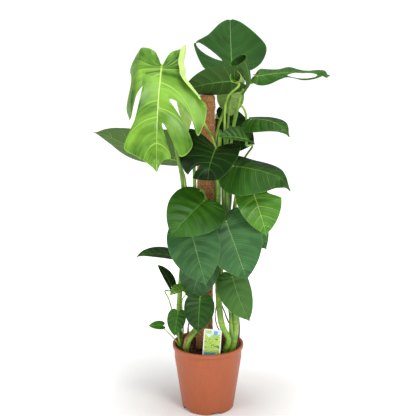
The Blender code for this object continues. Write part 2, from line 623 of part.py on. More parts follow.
    leaf("small_heart", "vine_outer", 0.019, junction=(-0.104, -0.090, 0.154),
         tip=(-0.116, -0.120, 0.090), face=(-0.1, -0.95, 0.25), width=0.062, bow=0.05, fold=(10, 10),
         curl=(6, 6), radii=(0.003, 0.002), route=[(-0.094, -0.032, 0.037), (-0.102, -0.050, 0.127)])
    leaf("small_left", "vine_outer", 0.012, junction=(-0.143, -0.062, 0.102), tip=(-0.195, -0.080, 0.105),
         face=(0, -0.8, 0.6), width=0.036, bow=0.05, fold=(10, 10), curl=(6, 6), radii=(0.002, 0.0015),
         route=[(-0.108, -0.040, 0.042)])
    leaf("small_upright", "vine_outer", 0.057, junction=(-0.121, -0.045, 0.231),
         tip=(-0.162, -0.055, 0.308), face=(0.8, -0.5, 0.6), width=0.045, bow=0.05, fold=(25, 25),
         curl=(10, 10), radii=(0.002, 0.0018),
         route=[(-0.110, -0.024, 0.097), (-0.128, -0.034, 0.177), (-0.142, -0.040, 0.212)], droop=1.0)
    leaf("small_side", "vine_outer", 0.057, junction=(-0.088, -0.095, 0.231), tip=(-0.120, -0.118, 0.223),
         face=(0.1, -0.3, 0.95), width=0.050, bow=0.05, fold=(25, 25), curl=(6, 6), finish="fresh_leaf",
         radii=(0.003, 0.002), route=[(-0.084, -0.026, 0.097), (-0.086, -0.040, 0.177)])


def build_new_leaf():
    """The youngest leaf, still rolled round itself, standing beside the top leaf."""
    route = [(0.120, -0.058, 0.847), (0.130, -0.064, 0.892), (0.106, -0.080, 0.937), (0.094, -0.090, 0.955)]
    path = spline(route, 7)
    grown(tube("rolled_leaf", path, [0.004, 0.009, 0.016, 0.010], 10, "fresh_leaf"))


def build_roots():
    """Each root hangs beside a vine: steps across from the vine's centre line, at heights above the soil."""
    routes = {
        "aerial_root_left": (
            "vine_left",
            [(-0.021, 0.024, 0.127), (-0.023, 0.026, 0.087), (0.015, 0.012, 0.009)],
        ),
        "aerial_root_right": (
            "vine_right",
            [(0.013, 0.018, 0.127), (0.019, 0.011, 0.077), (0.018, 0.000, 0.029), (0.0175, 0.0046, 0.009)],
        ),
    }
    for name, (vine, steps) in routes.items():
        x, y, z = vine_path(vine)[0].T
        route = [(np.interp(up, z, x) + dx, np.interp(up, z, y) + dy, up) for dx, dy, up in steps]
        grown(tube(name, spline(route, 7), [0.003, 0.0024, 0.002], 6, "root"))


def main():
    clear_scene()
    plant = bpy.data.objects.new("plant", None)
    bpy.context.scene.collection.objects.link(plant)
    plant.location.z = SOIL_LEVEL
    cutters = []
    build_pot()
    build_pole(cutters)
    label_body("plant_label", 0.0, "label")
    cutters.append(label_body("label_slot", CLEARANCE, None))
    build_vines(cutters)
    build_leaves()
    build_new_leaf()
    build_roots()
    build_soil(cutters)


main()
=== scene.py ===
"""Potted monstera: the looks of a climbing plant on a coir pole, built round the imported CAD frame.

Frame: metres, +Z up, origin on the floor under the middle of the pot, -Y is the plant's front.
A piece is a surface worked out on a grid of two parameters, or a section carried along a path.
"""

import itertools
import json
import math

import bmesh
import bpy
import numpy as np
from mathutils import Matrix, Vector


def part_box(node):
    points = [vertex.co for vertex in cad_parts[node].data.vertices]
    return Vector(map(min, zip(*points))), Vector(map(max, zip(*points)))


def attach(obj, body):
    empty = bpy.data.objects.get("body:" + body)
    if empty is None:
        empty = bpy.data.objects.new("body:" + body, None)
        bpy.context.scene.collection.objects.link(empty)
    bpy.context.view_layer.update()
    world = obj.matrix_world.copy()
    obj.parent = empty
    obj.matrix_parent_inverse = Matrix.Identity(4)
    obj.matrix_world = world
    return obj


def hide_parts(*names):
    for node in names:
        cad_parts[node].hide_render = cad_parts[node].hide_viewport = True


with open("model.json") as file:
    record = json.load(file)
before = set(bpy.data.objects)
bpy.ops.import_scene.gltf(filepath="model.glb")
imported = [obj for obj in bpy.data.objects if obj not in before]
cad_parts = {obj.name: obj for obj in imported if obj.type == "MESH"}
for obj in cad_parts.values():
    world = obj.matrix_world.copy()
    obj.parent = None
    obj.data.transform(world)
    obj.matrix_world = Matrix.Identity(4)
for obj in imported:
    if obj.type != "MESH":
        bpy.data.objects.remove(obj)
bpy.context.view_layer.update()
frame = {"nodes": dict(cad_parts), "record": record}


# ------------------------------------------------------------------ nursery pot
# A round nursery pot, injection-moulded in one piece from terracotta-coloured polypropylene. It has a
# turned lip, a neck, a stacking shoulder and a tapering wall, and its foot ring is notched so that water
# runs out from under its floor.
POT_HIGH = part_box("pot")[1]
RIM_RADIUS = POT_HIGH.x
POT_HEIGHT = POT_HIGH.z
BASE_RADIUS = 0.088
POT_WALL = 0.0022
LIP_HEIGHT = 0.012
LIP_OVERHANG = 0.006
NECK_HEIGHT = 0.020
SHOULDER_DROP = 0.050  # stacking shoulder below the rim
SHOULDER_STEP = 0.0012  # how far the wall steps in below it
FLOOR_RAISED = 0.010  # underside of the pot's floor
FLOOR_THICKNESS = 0.003
FOOT_PAD_RADIUS = 0.016
NOTCH_COUNT = 5
NOTCH_FIRST = math.radians(-73)
NOTCH_WIDTH = 0.034
NOTCH_HEIGHT = 0.008
NOTCH_EDGE = 0.0012  # how quickly a notch's arch rises at its sides
DRAIN_COUNT = 6
DRAIN_RADIUS = 0.006
DRAIN_CIRCLE = 0.055
DRAIN_CUT = (0.002, 0.020)  # heights between which a hole is cut
WELD = 2e-6  # points nearer than this fall together


def rounded(corners, radius, steps=4):
    """The run of corners with each inner one eased by a parabola that starts and ends radius from it."""
    corners = np.array(corners, float)
    t = np.linspace(0, 1, steps + 1)[:, None]
    run = [corners[:1]]
    for before, here, after in zip(corners, corners[1:], corners[2:]):
        ends = []
        for other in (before, after):
            ends.append(here + (other - here) * min(0.45, radius / np.linalg.norm(other - here)))
        run.append(ends[0] * (1 - t) ** 2 + here * 2 * t * (1 - t) + ends[1] * t**2)
    return np.vstack([*run, corners[-1:]])


def turned(profile, sides):
    """Grid of a profile of (radius, height) points turned round Z: x = r cos t, y = r sin t."""
    turn = np.linspace(0, 2 * math.pi, sides + 1)
    r, z = profile[:, :1], profile[:, 1:]
    return np.stack([r * np.cos(turn), r * np.sin(turn), z + 0 * turn], axis=-1)


def cells(rows, columns):
    """The four corners of each cell of a grid, its points counted row by row."""
    corner = np.arange(rows - 1)[:, None] * columns + np.arange(columns - 1)
    return corner.reshape(-1, 1) + [0, 1, columns + 1, columns]


def solid(name, grids, maps=None, fields=None, sharp=50):
    """One object from grids of points, a face for each cell. Points that fall together are welded, which
    closes seams and poles. maps gives a (u, v) grid, and fields named point values, for each grid."""
    faces, start = [], 0
    for grid in grids:
        faces.append(start + cells(*grid.shape[:2]))
        start += grid[..., 0].size
    return shell(name, np.vstack([g.reshape(-1, 3) for g in grids]), np.vstack(faces), maps, fields, sharp)


def shell(name, points, faces, maps=None, fields=None, sharp=50):
    """One object from points and faces of four corners, welded, with its faces turned outwards. Edges that
    turn by more than sharp degrees stay sharp."""
    mesh = bpy.data.meshes.new(name)
    mesh.vertices.add(len(points))
    mesh.vertices.foreach_set("co", points.astype(np.float32).reshape(-1))
    mesh.loops.add(faces.size)
    mesh.loops.foreach_set("vertex_index", faces.astype(np.int32).reshape(-1))
    mesh.polygons.add(len(faces))
    mesh.polygons.foreach_set("loop_start", np.arange(0, faces.size, faces.shape[1], dtype=np.int32))
    mesh.update(calc_edges=True)
    if maps is not None:
        uv = np.vstack([m.reshape(-1, 2) for m in maps])[faces.reshape(-1)]
        mesh.uv_layers.new(name="UVMap").uv.foreach_set("vector", uv.astype(np.float32).reshape(-1))
    for key, values in (fields or {}).items():
        values = np.concatenate([np.ravel(v) for v in values]).astype(np.float32)
        mesh.attributes.new(key, "FLOAT", "POINT").data.foreach_set("value", values)
    body = bmesh.new()
    body.from_mesh(mesh)
    bmesh.ops.remove_doubles(body, verts=body.verts, dist=WELD)
    bmesh.ops.recalc_face_normals(body, faces=body.faces)
    body.to_mesh(mesh)
    body.free()
    mesh.shade_smooth()
    mesh.set_sharp_from_angle(angle=math.radians(sharp))
    made = bpy.data.objects.new(name, mesh)
    bpy.context.scene.collection.objects.link(made)
    return made


def settle(made, material, slot, *nodes):
    """Gives the piece its material and its place in the frame, and has it stand for its CAD nodes."""
    made.data.materials.append(material)
    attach(made, "root")
    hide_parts(*nodes)


def colour(code):
    """Linear RGBA of an sRGB hex colour."""
    share = [int(code[i : i + 2], 16) / 255 for i in (1, 3, 5)]
    return [c / 12.92 if c < 0.04045 else ((c + 0.055) / 1.055) ** 2.4 for c in share] + [1.0]


def add(tree, kind, inputs=None, output=0, to=None, **settings):
    """A shader node of this kind with its settings, its inputs given as values or as sockets to link from.
    Returns the output of this number or name, linked to a further socket if one is given."""
    made = tree.nodes.new("ShaderNode" + kind)
    for key, value in settings.items():
        setattr(made, key, value)
    for key, value in (inputs or {}).items():
        if isinstance(value, bpy.types.NodeSocket):
            tree.links.new(value, made.inputs[key])
        else:
            made.inputs[key].default_value = value
    if to:
        tree.links.new(made.outputs[output], to)
    return made.outputs[output]


def finish(name, **settings):
    """A material of one Principled shader with these settings. Returns the material, its tree and the
    shader's sockets."""
    made = bpy.data.materials.new(name)
    made.use_nodes = True
    sockets = made.node_tree.nodes["Principled BSDF"].inputs
    for key, value in settings.items():
        sockets[key.replace("_", " ").title().replace("Ior", "IOR")].default_value = value
    return made, made.node_tree, sockets


def moulded_polypropylene():
    """Polypropylene coloured in the melt, from a polished mould: an even terracotta with a satin sheen, a
    little paler where it is scuffed and dusty, with faint flow marks running down the wall."""
    made, tree, shader = finish("moulded terracotta polypropylene", ior=1.49, specular_ior_level=0.4)
    place = add(tree, "TexCoord", output="Object")
    cloud = add(tree, "TexNoise", {"Vector": place, "Scale": 14, "Detail": 5, "Roughness": 0.6})
    stretch = add(tree, "Mapping", {"Vector": place, "Scale": (160, 160, 6)})
    flow = add(tree, "TexNoise", {"Vector": stretch, "Scale": 1, "Detail": 2})
    scuff = add(tree, "Math", {0: flow, 1: cloud}, operation="MULTIPLY")
    worn = add(tree, "MapRange", {0: scuff, 1: 0.10, 2: 0.50})
    tint = {0: worn, 6: colour("#AD5833"), 7: colour("#B5623C")}
    add(tree, "Mix", tint, 2, shader["Base Color"], data_type="RGBA")
    add(tree, "MapRange", {0: cloud, 1: 0.3, 2: 0.7, 3: 0.36, 4: 0.50}, to=shader["Roughness"])
    grain = add(tree, "TexNoise", {"Vector": place, "Scale": 900, "Detail": 2})
    add(tree, "Bump", {"Height": grain, "Strength": 0.06, "Distance": 0.0004}, to=shader["Normal"])
    return made


def wall_radius(z):
    """Outer radius of the tapered wall at height z."""
    top = RIM_RADIUS - LIP_OVERHANG - SHOULDER_STEP
    return BASE_RADIUS + (top - BASE_RADIUS) * z / (POT_HEIGHT - SHOULDER_DROP)


def pot():
    """The pot's closed section turned round Z, its foot ring lifted by an arch over each notch."""
    neck = RIM_RADIUS - LIP_OVERHANG
    lip = POT_HEIGHT - LIP_HEIGHT
    shoulder = POT_HEIGHT - SHOULDER_DROP
    floor_top = FLOOR_RAISED + FLOOR_THICKNESS
    inner = [
        (0, floor_top),
        (wall_radius(floor_top) - POT_WALL, floor_top),
        (wall_radius(shoulder) - POT_WALL, shoulder + POT_WALL),
        (neck - POT_WALL, shoulder + 2 * POT_WALL),
        (neck - POT_WALL, POT_HEIGHT - 0.001),
        (neck - POT_WALL + 0.001, POT_HEIGHT),
    ]
    outer = [
        (RIM_RADIUS - 0.0008, POT_HEIGHT),
        (RIM_RADIUS, POT_HEIGHT - 0.0012),
        (RIM_RADIUS, lip),
        (neck + 0.0012, lip - 0.0030),
        (neck, POT_HEIGHT - NECK_HEIGHT),
        (neck - 0.0004, shoulder + 0.0018),
        (wall_radius(shoulder), shoulder - 0.0006),
        (wall_radius(2 * FLOOR_RAISED), 2 * FLOOR_RAISED),
        (BASE_RADIUS, 0.0),
    ]
    under = [
        (BASE_RADIUS - POT_WALL, 0.0),
        (wall_radius(FLOOR_RAISED) - POT_WALL, FLOOR_RAISED),
        (FOOT_PAD_RADIUS, FLOOR_RAISED),
        (FOOT_PAD_RADIUS, 0.0),
        (0, 0),
    ]
    grid = turned(rounded(inner + outer + under, 0.0008), 360)
    x, y, z = np.moveaxis(grid, -1, 0)
    radius, turn = np.hypot(x, y), np.arctan2(y, x)
    period = 2 * math.pi / NOTCH_COUNT
    away = np.abs((turn - NOTCH_FIRST + period / 2) % period - period / 2) * BASE_RADIUS
    arch = NOTCH_HEIGHT * np.clip((NOTCH_WIDTH / 2 - away) / NOTCH_EDGE, 0, 1)
    grid[..., 2] = np.where((radius > FOOT_PAD_RADIUS * 2) & (z < arch), arch, z)
    made = solid("nursery_pot", [grid], sharp=35)
    for k in range(DRAIN_COUNT):
        turn = 2 * math.pi * (k + 0.5) / DRAIN_COUNT
        low, high = DRAIN_CUT
        profile = np.array([(0, low), (DRAIN_RADIUS, low), (DRAIN_RADIUS, high), (0, high)])
        hole = turned(profile, 32) + [DRAIN_CIRCLE * math.cos(turn), DRAIN_CIRCLE * math.sin(turn), 0]
        carve(made, solid("drain_cutter", [hole]))
    return made


def carve(made, cutter):
    """Takes the cutter's shape out of the piece, and removes the cutter."""
    cut = made.modifiers.new("cut", "BOOLEAN")
    cut.object = cutter
    graph = bpy.context.evaluated_depsgraph_get()
    mesh = bpy.data.meshes.new_from_object(made.evaluated_get(graph))
    made.modifiers.clear()
    made.data = mesh
    bpy.data.objects.remove(cutter)


settle(pot(), moulded_polypropylene(), "pot", "pot")


# ------------------------------------------------------------------ potting mix
# Peat and composted bark, filled to two centimetres below the rim and mounded a little in the middle. The
# body is one lumpy solid, and loose chips of bark, crumbs of peat and grains of perlite lie on it.
SOIL_LOW, SOIL_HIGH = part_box("soil")
SOIL_RADIUS = SOIL_HIGH.x
SOIL_MOUND = 0.008
SOIL_LEVEL = SOIL_HIGH.z - SOIL_MOUND
SOIL_LUMPS = ((0.0030, 0.016, 1), (0.0022, 0.006, 2), (0.0010, 0.0025, 3))  # height, size and seed


def noise(points, size, seed):
    """Smooth noise from -1 to 1: a hashed value at each corner of a lattice of that size in metres, blended
    along each axis by 3t^2 - 2t^3."""
    place = points / size + 19.7 * seed
    cell = np.floor(place).astype(np.int64)
    t = place - cell
    t = t * t * (3 - 2 * t)
    total = 0
    for corner in itertools.product((0, 1), repeat=3):
        x, y, z = np.moveaxis(cell + corner, -1, 0)
        mixed = (x * 73856093) ^ (y * 19349663) ^ (z * 83492791) ^ (seed * 2654435761)
        mixed = ((mixed ^ (mixed >> 13)) * 1274126177) & 0x7FFFFFFF
        share = np.where(corner, t, 1 - t).prod(axis=-1)
        total = total + share * (mixed / 0x3FFFFFFF - 1)
    return total


def soil_top(x, y):
    """Height of the soil: level at the wall, raised by a parabola towards the middle."""
    return SOIL_LEVEL + SOIL_MOUND * np.clip(1 - (x * x + y * y) / SOIL_RADIUS**2, 0, 1)


def soil_body():
    """A disc of rings whose height is the mound plus three sizes of noise, closed by the pot's inner
    shape."""
    rings = np.linspace(0, 1, 90)[:, None] * SOIL_RADIUS
    turn = np.linspace(0, 2 * math.pi, 361)
    x, y = rings * np.cos(turn), rings * np.sin(turn)
    flat = np.stack([x, y, 0 * x], axis=-1)
    lumps = sum(height * noise(flat, size, seed) for height, size, seed in SOIL_LUMPS)
    top = np.stack([x, y, soil_top(x, y) + lumps - 0.002], axis=-1)
    shoulder = POT_HEIGHT - SHOULDER_DROP
    gap = RIM_RADIUS - LIP_OVERHANG - SOIL_RADIUS
    below = [
        (SOIL_RADIUS, shoulder + 3 * POT_WALL),
        (wall_radius(shoulder) - gap, shoulder),
        (wall_radius(SOIL_LOW.z) - gap, SOIL_LOW.z),
        (0, SOIL_LOW.z),
    ]
    return solid("soil_body", [np.concatenate([top, turned(np.array(below), 360)])], sharp=80)


def chips(name, count, size, seed):
    """Many rough bits lying on the soil: a six-sided lump of three rings, each copy stretched to its own
    length, width and height, its points pushed about, then turned and set down by its own angles."""
    draw = np.random.default_rng(seed)
    ring = np.linspace(0, 2 * math.pi, 7)
    lump = [(0, -1), (0.75, -0.6), (1, 0.1), (0.7, 0.7), (0, 1)]
    base = np.array([[(r * math.cos(t), r * math.sin(t), z) for t in ring] for r, z in lump])
    stretch = draw.uniform(size[0], size[1], (count, 3)) / 2
    push = draw.uniform(0.7, 1.25, (count, *base.shape[:2], 1))
    push[:, :, -1] = push[:, :, 0]
    push[:, (0, -1)] = 1
    points = base * push * stretch[:, None, None]
    for axis in range(3):
        turn = draw.uniform(-0.5, 0.5, count) if axis < 2 else draw.uniform(0, 2 * math.pi, count)
        c, s = np.cos(turn)[:, None, None], np.sin(turn)[:, None, None]
        a, b = [k for k in range(3) if k != axis]
        first = points[..., a] * c - points[..., b] * s
        points[..., b] = points[..., a] * s + points[..., b] * c
        points[..., a] = first
    away = (SOIL_RADIUS - size[1][0]) * np.sqrt(draw.uniform(0, 1, count))
    turn = draw.uniform(0, 2 * math.pi, count)
    x, y = away * np.cos(turn), away * np.sin(turn)
    z = soil_top(x, y) - 0.001 + stretch[:, 2] * draw.uniform(-0.2, 0.9, count)
    points += np.stack([x, y, z], axis=-1)[:, None, None]
    tone = np.repeat(draw.uniform(0, 1, count), base.shape[0] * base.shape[1])
    return solid(name, list(points), fields={"tone": [tone]}, sharp=30)


def potting_mix(name, dark, light, share):
    """Moist peat and composted bark: near-black brown crumbs and redder chips, dull, with no sheen. Each
    loose chip has its own tone between the two colours."""
    made, tree, shader = finish(name, roughness=0.86, ior=1.4)
    place = add(tree, "TexCoord", output="Object")
    crumbs = add(tree, "TexVoronoi", {"Vector": place, "Scale": 260})
    cloud = add(tree, "TexNoise", {"Vector": place, "Scale": 130, "Detail": 6, "Roughness": 0.7})
    tone = add(tree, "Attribute", output="Fac", attribute_name="tone")
    both = add(tree, "Math", {0: tone, 1: share, 2: cloud}, operation="MULTIPLY_ADD")
    mixed = add(tree, "MapRange", {0: both, 1: 0.35, 2: 0.35 + share + 0.35})
    tint = {0: mixed, 6: colour(dark), 7: colour(light)}
    add(tree, "Mix", tint, 2, shader["Base Color"], data_type="RGBA")
    rough = add(tree, "Math", {0: crumbs, 1: cloud}, operation="ADD")
    add(tree, "Bump", {"Height": rough, "Strength": 0.8, "Distance": 0.002}, to=shader["Normal"])
    return made


peat = potting_mix("moist peat", "#1B100A", "#4A2E1C", 0.4)
bark = potting_mix("composted bark", "#24140B", "#7A4C2C", 1.0)
perlite = potting_mix("expanded perlite", "#9A9286", "#D8D2C4", 0.6)
settle(soil_body(), peat, "soil", "soil")
for name, count, least, most, seed, mix in (
    ("peat_crumbs", 900, (0.002, 0.002, 0.0015), (0.006, 0.005, 0.004), 5, peat),
    ("bark_chips", 520, (0.005, 0.003, 0.002), (0.017, 0.009, 0.006), 6, bark),
    ("perlite_grains", 26, (0.002, 0.002, 0.002), (0.004, 0.004, 0.003), 7, perlite),
):
    settle(chips(name, count, (least, most), seed), mix, "soil", "soil")


# ------------------------------------------------------------------ coir pole
# A support pole: coconut fibre felted round a wooden core and pushed into the soil. The sleeve is rough and
# shaggy, its upper end is rolled in over the core, and short fibres stand off it everywhere.
SLEEVE_LOW, SLEEVE_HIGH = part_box("coir_sleeve")
POLE_RADIUS = (SLEEVE_HIGH.y - SLEEVE_LOW.y) / 2
POLE_FOOT_X = SLEEVE_LOW.x + POLE_RADIUS
POLE_HEAD_X = SLEEVE_HIGH.x - POLE_RADIUS
BORE_RADIUS = 0.0113
SLEEVE_ROLL = 0.006  # how far below its top the sleeve starts to roll in
FIBRE_RADIUS = 0.00022  # twice the real one, so that a fibre shows
FIBRE_ROOT = 0.0016  # depth in the sleeve at which a fibre starts and ends
FIBRE_LENGTH = (0.012, 0.042)
FIBRE_BOW = (0.0006, 0.0036)
FIBRE_LOWEST = 0.09  # above the sleeve's foot, where the soil ends


def pole_centre(z):
    """The pole leans a little: its axis runs straight from its foot to its head."""
    share = (z - SLEEVE_LOW.z) / (SLEEVE_HIGH.z - SLEEVE_LOW.z)
    return POLE_FOOT_X + (POLE_HEAD_X - POLE_FOOT_X) * share


def sleeve():
    """A tube's closed section turned round the axis, pushed out along the radius by noise that is stretched
    round the pole, as the fibres lie, and by finer noise for their ends."""
    low, high = SLEEVE_LOW.z, SLEEVE_HIGH.z
    section = [(BORE_RADIUS, low), (POLE_RADIUS, low), (POLE_RADIUS, high - SLEEVE_ROLL), (0.024, high)]
    section += [(0.015, high - 0.001), (BORE_RADIUS, high - 0.008), (BORE_RADIUS, low)]
    outside = np.linspace(low, high - SLEEVE_ROLL, 520)[1:-1]
    profile = np.vstack([section[:2], np.stack([0 * outside + POLE_RADIUS, outside], axis=1)])
    profile = np.vstack([profile, rounded(section[2:5], 0.006, 8), section[5:]])
    grid = turned(profile, 150)
    x, y, z = np.moveaxis(grid, -1, 0)
    radius, turn = np.hypot(x, y), np.arctan2(y, x)
    round_pole = np.stack([np.cos(turn) * 0.012, np.sin(turn) * 0.012, z], axis=-1)
    slant = np.stack([np.cos(turn) * 0.03, np.sin(turn) * 0.03, z + 0.012 * np.sin(2 * turn)], axis=-1)
    push = 0.0012 * noise(round_pole, 0.0045, 11) + 0.0009 * noise(slant, 0.0024, 12)
    push = push + 0.0009 * noise(grid, 0.0030, 13) - 0.0016
    swell = np.where(radius > BORE_RADIUS * 1.05, push, 0)
    grid[..., 0] += np.cos(turn) * swell + pole_centre(z)
    grid[..., 1] += np.sin(turn) * swell
    return solid("coir_felt", [grid], sharp=80)


def fibres(count, seed):
    """Loose coir fibres: each a thin three-sided tube along an arc that starts and ends in the sleeve and
    bows off it. Heading, length and height of the bow are drawn for each."""
    draw = np.random.default_rng(seed)
    s = np.linspace(0, 1, 7)[None, :]
    turn = draw.uniform(0, 2 * math.pi, (count, 1))
    start = draw.uniform(SLEEVE_LOW.z + FIBRE_LOWEST, SLEEVE_HIGH.z - 0.004, (count, 1))
    length = draw.uniform(*FIBRE_LENGTH, (count, 1))
    heading = draw.normal(0.0, 0.8, (count, 1))
    curl = draw.uniform(-1.3, 1.3, (count, 1))
    run = length * s
    heading = heading + curl * s
    around = turn + run * np.cos(heading) / POLE_RADIUS
    z = np.minimum(start + run * np.sin(heading), SLEEVE_HIGH.z - 0.002)
    bow = draw.uniform(*FIBRE_BOW, (count, 1))
    bow = bow * np.sin(math.pi * np.minimum(s * draw.uniform(0.55, 1, (count, 1)), 1))
    away = POLE_RADIUS - FIBRE_ROOT + bow
    line = np.stack([pole_centre(z) + away * np.cos(around), away * np.sin(around), z], axis=-1)
    ahead = np.gradient(line, axis=1)
    ahead /= np.linalg.norm(ahead, axis=-1)[..., None]
    out = np.stack([np.cos(around), np.sin(around), 0 * around], axis=-1)
    side = np.cross(ahead, out)
    side /= np.linalg.norm(side, axis=-1)[..., None]
    lift = np.cross(side, ahead)
    corner = np.linspace(0, 2 * math.pi, 4)
    thick = FIBRE_RADIUS * np.array([0.02, 1, 1, 1, 1, 0.8, 0.02])[None, :, None, None]
    ring = np.cos(corner)[:, None] * side[:, :, None] + np.sin(corner)[:, None] * lift[:, :, None]
    grid = line[:, :, None] + thick * ring
    tone = np.repeat(draw.uniform(0, 1, count), grid.shape[1] * grid.shape[2])
    return solid("coir_fibres", list(grid), fields={"tone": [tone]}, sharp=80)


def coconut_fibre(name, dark, light):
    """Coir, the brown hair of the coconut husk, felted dry: dull orange-brown, with painted shade in the
    hollows between fibres and a painted highlight where a fibre end catches the light."""
    made, tree, shader = finish(name, roughness=0.9, ior=1.5, sheen_weight=0.15)
    place = add(tree, "TexCoord", output="Object")
    stretch = add(tree, "Mapping", {"Vector": place, "Scale": (260, 260, 900)})
    strands = add(tree, "TexNoise", {"Vector": stretch, "Scale": 1, "Detail": 4})
    clumps = add(tree, "TexNoise", {"Vector": place, "Scale": 150, "Detail": 5, "Roughness": 0.7})
    tone = add(tree, "Attribute", output="Fac", attribute_name="tone")
    both = add(tree, "Math", {0: strands, 1: clumps}, operation="MULTIPLY")
    both = add(tree, "Math", {0: tone, 1: 0.25, 2: both}, operation="MULTIPLY_ADD")
    # Painted shade in the hollows and painted highlights on fibre ends: the noise mixes the dark and light
    # tones
    mixed = add(tree, "MapRange", {0: both, 1: 0.14, 2: 0.36})
    tint = {0: mixed, 6: colour(dark), 7: colour(light)}
    add(tree, "Mix", tint, 2, shader["Base Color"], data_type="RGBA")
    add(tree, "Bump", {"Height": strands, "Strength": 0.7, "Distance": 0.0012}, to=shader["Normal"])
    return made


def sawn_pine():
    """A sawn softwood stake: pale yellow-brown, with fine darker growth lines along it, unplaned."""
    made, tree, shader = finish("sawn pine", roughness=0.75, ior=1.5)
    place = add(tree, "TexCoord", output="Object")
    stretch = add(tree, "Mapping", {"Vector": place, "Scale": (420, 420, 12)})
    grain = add(tree, "TexNoise", {"Vector": stretch, "Scale": 1, "Detail": 3})
    mixed = add(tree, "MapRange", {0: grain, 1: 0.4, 2: 0.62})
    tint = {0: mixed, 6: colour("#C39A63"), 7: colour("#8A5F35")}
    add(tree, "Mix", tint, 2, shader["Base Color"], data_type="RGBA")
    return made


settle(sleeve(), coconut_fibre("felted coir", "#5C3318", "#CC9058"), "coir", "coir_sleeve")
settle(fibres(1500, 21), coconut_fibre("loose coir fibre", "#6B3D1F", "#C78A55"), "coir", "coir_sleeve")
core = frame["nodes"]["pole_core"]
core.data.materials.clear()
core.data.materials.append(sawn_pine())


# ------------------------------------------------------------------ vines
# The plant's stems. Four grow from the soil and climb in front of and beside the pole: thick, smooth, pale
# green shoots with a swollen ring at each node, where a leaf's stalk clasped the stem, and brown root buds.
ROOT_DEPTH = 0.028
HEADSPACE = POT_HEIGHT - SOIL_LEVEL
CAP_RINGS = 5  # rings of the dome that closes each end of a stem
RING_TILT = 0.0022
RING_SWELL = 0.075  # as a share of the stem's radius
RING_HEIGHT = 0.0050
SCAR_DEPTH = 0.10  # as a share of the stem's radius
SCAR_HEIGHT = 0.0009
# For each vine: compass angle and share of the soil's radius where it is rooted, the points it climbs
# through above the soil, its radius from root to top, the spacing of its nodes, and its first leaf's side
VINES = {
    "vine_pole": (
        (-44, 0.72),
        [(0.067, -0.074, 0.060), (0.045, -0.078, 0.112), (0.034, -0.066, 0.207), (0.032, -0.036, 0.357),
         (0.034, -0.028, 0.557), (0.038, -0.026, 0.737)],
        [0.009, 0.010, 0.0095, 0.008, 0.006],
        0.052,
        0.4,
    ),
    "vine_right": (
        (-29, 0.83),
        [(0.087, -0.047, 0.070), (0.088, -0.046, 0.167), (0.072, -0.022, 0.297), (0.070, -0.006, 0.437)],
        [0.011, 0.0135, 0.012, 0.009, 0.007],
        0.068,
        1.2,
    ),
    "vine_left": (
        (218, 0.84),
        [(-0.062, -0.070, 0.060), (-0.032, -0.066, 0.109), (-0.034, -0.052, 0.217), (-0.052, -0.034, 0.357),
         (-0.056, -0.022, 0.517)],
        [0.009, 0.011, 0.0105, 0.009, 0.007],
        0.058,
        2.6,
    ),
    "vine_outer": (
        (193, 0.82),
        [(-0.098, -0.020, 0.097), (-0.092, -0.008, 0.227), (-0.078, 0.008, 0.377)],
        [0.008, 0.009, 0.008, 0.006],
        0.047,
        3.3,
    ),
}


def unit(v):
    """The vector v at a length of 1."""
    return np.array(v, float) / np.linalg.norm(v)


def lengths(path):
    """Length along the path up to each of its points."""
    return np.r_[0, np.cumsum(np.linalg.norm(np.diff(path, axis=0), axis=1))]


def spline(points, count):
    """Even samples of the Catmull-Rom curve through the points."""
    p = np.array(points, float)
    p = np.vstack([2 * p[0] - p[1], p, 2 * p[-1] - p[-2]])
    t = np.linspace(0, 1, 24, endpoint=False)[:, None]
    runs = []
    for a, b, c, d in zip(p[:-3], p[1:-2], p[2:-1], p[3:]):
        square, cube = 2 * a - 5 * b + 4 * c - d, 3 * b - a - 3 * c + d
        runs.append(0.5 * (2 * b + (c - a) * t + square * t**2 + cube * t**3))
    dense = np.vstack([*runs, p[-2]])
    run = lengths(dense)
    return np.stack([np.interp(np.linspace(0, run[-1], count), run, axis) for axis in dense.T], axis=1)


def above_soil(points):
    """Plant points are given from the soil surface up."""
    return np.array(points, float) + [0, 0, SOIL_LEVEL]


def sweep(path, radius, sides, side=(0.31, 0.95, 0.05), shape=None, dome=0.8):
    """Grid of rings carried along the path without twist, closed by a dome at each end, with the run in
    metres and the turn of each point. shape(turn, run) scales the radius."""
    ahead = np.gradient(path, axis=0)
    ahead /= np.linalg.norm(ahead, axis=1)[:, None]
    frames = []
    side = np.cross(np.cross(ahead[0], side), ahead[0])
    for forward in ahead:
        side = unit(side - forward * (side @ forward))
        frames.append((side, np.cross(forward, side)))
    pick = np.r_[[0] * CAP_RINGS, range(len(path)), [-1] * CAP_RINGS]
    first, second = np.moveaxis(np.array(frames), 1, 0)[:, pick, None]
    run = lengths(path)[pick][:, None]
    turn = np.linspace(0, 2 * math.pi, sides + 1)[None, :]
    cap = np.linspace(math.pi / 2, 0, CAP_RINGS + 1)[:-1]
    centre = np.vstack([
        path[0] - ahead[0] * radius[0] * dome * np.sin(cap)[:, None],
        path,
        path[-1] + ahead[-1] * radius[-1] * dome * np.sin(cap[::-1])[:, None],
    ])
    scale = np.r_[radius[0] * np.cos(cap), radius, radius[-1] * np.cos(cap[::-1])][:, None] + 0 * turn
    if shape:
        scale = scale * shape(turn, run)
    ring = np.cos(turn)[..., None] * first + np.sin(turn)[..., None] * second
    return centre[:, None] + scale[..., None] * ring, run + 0 * turn, turn + 0 * scale


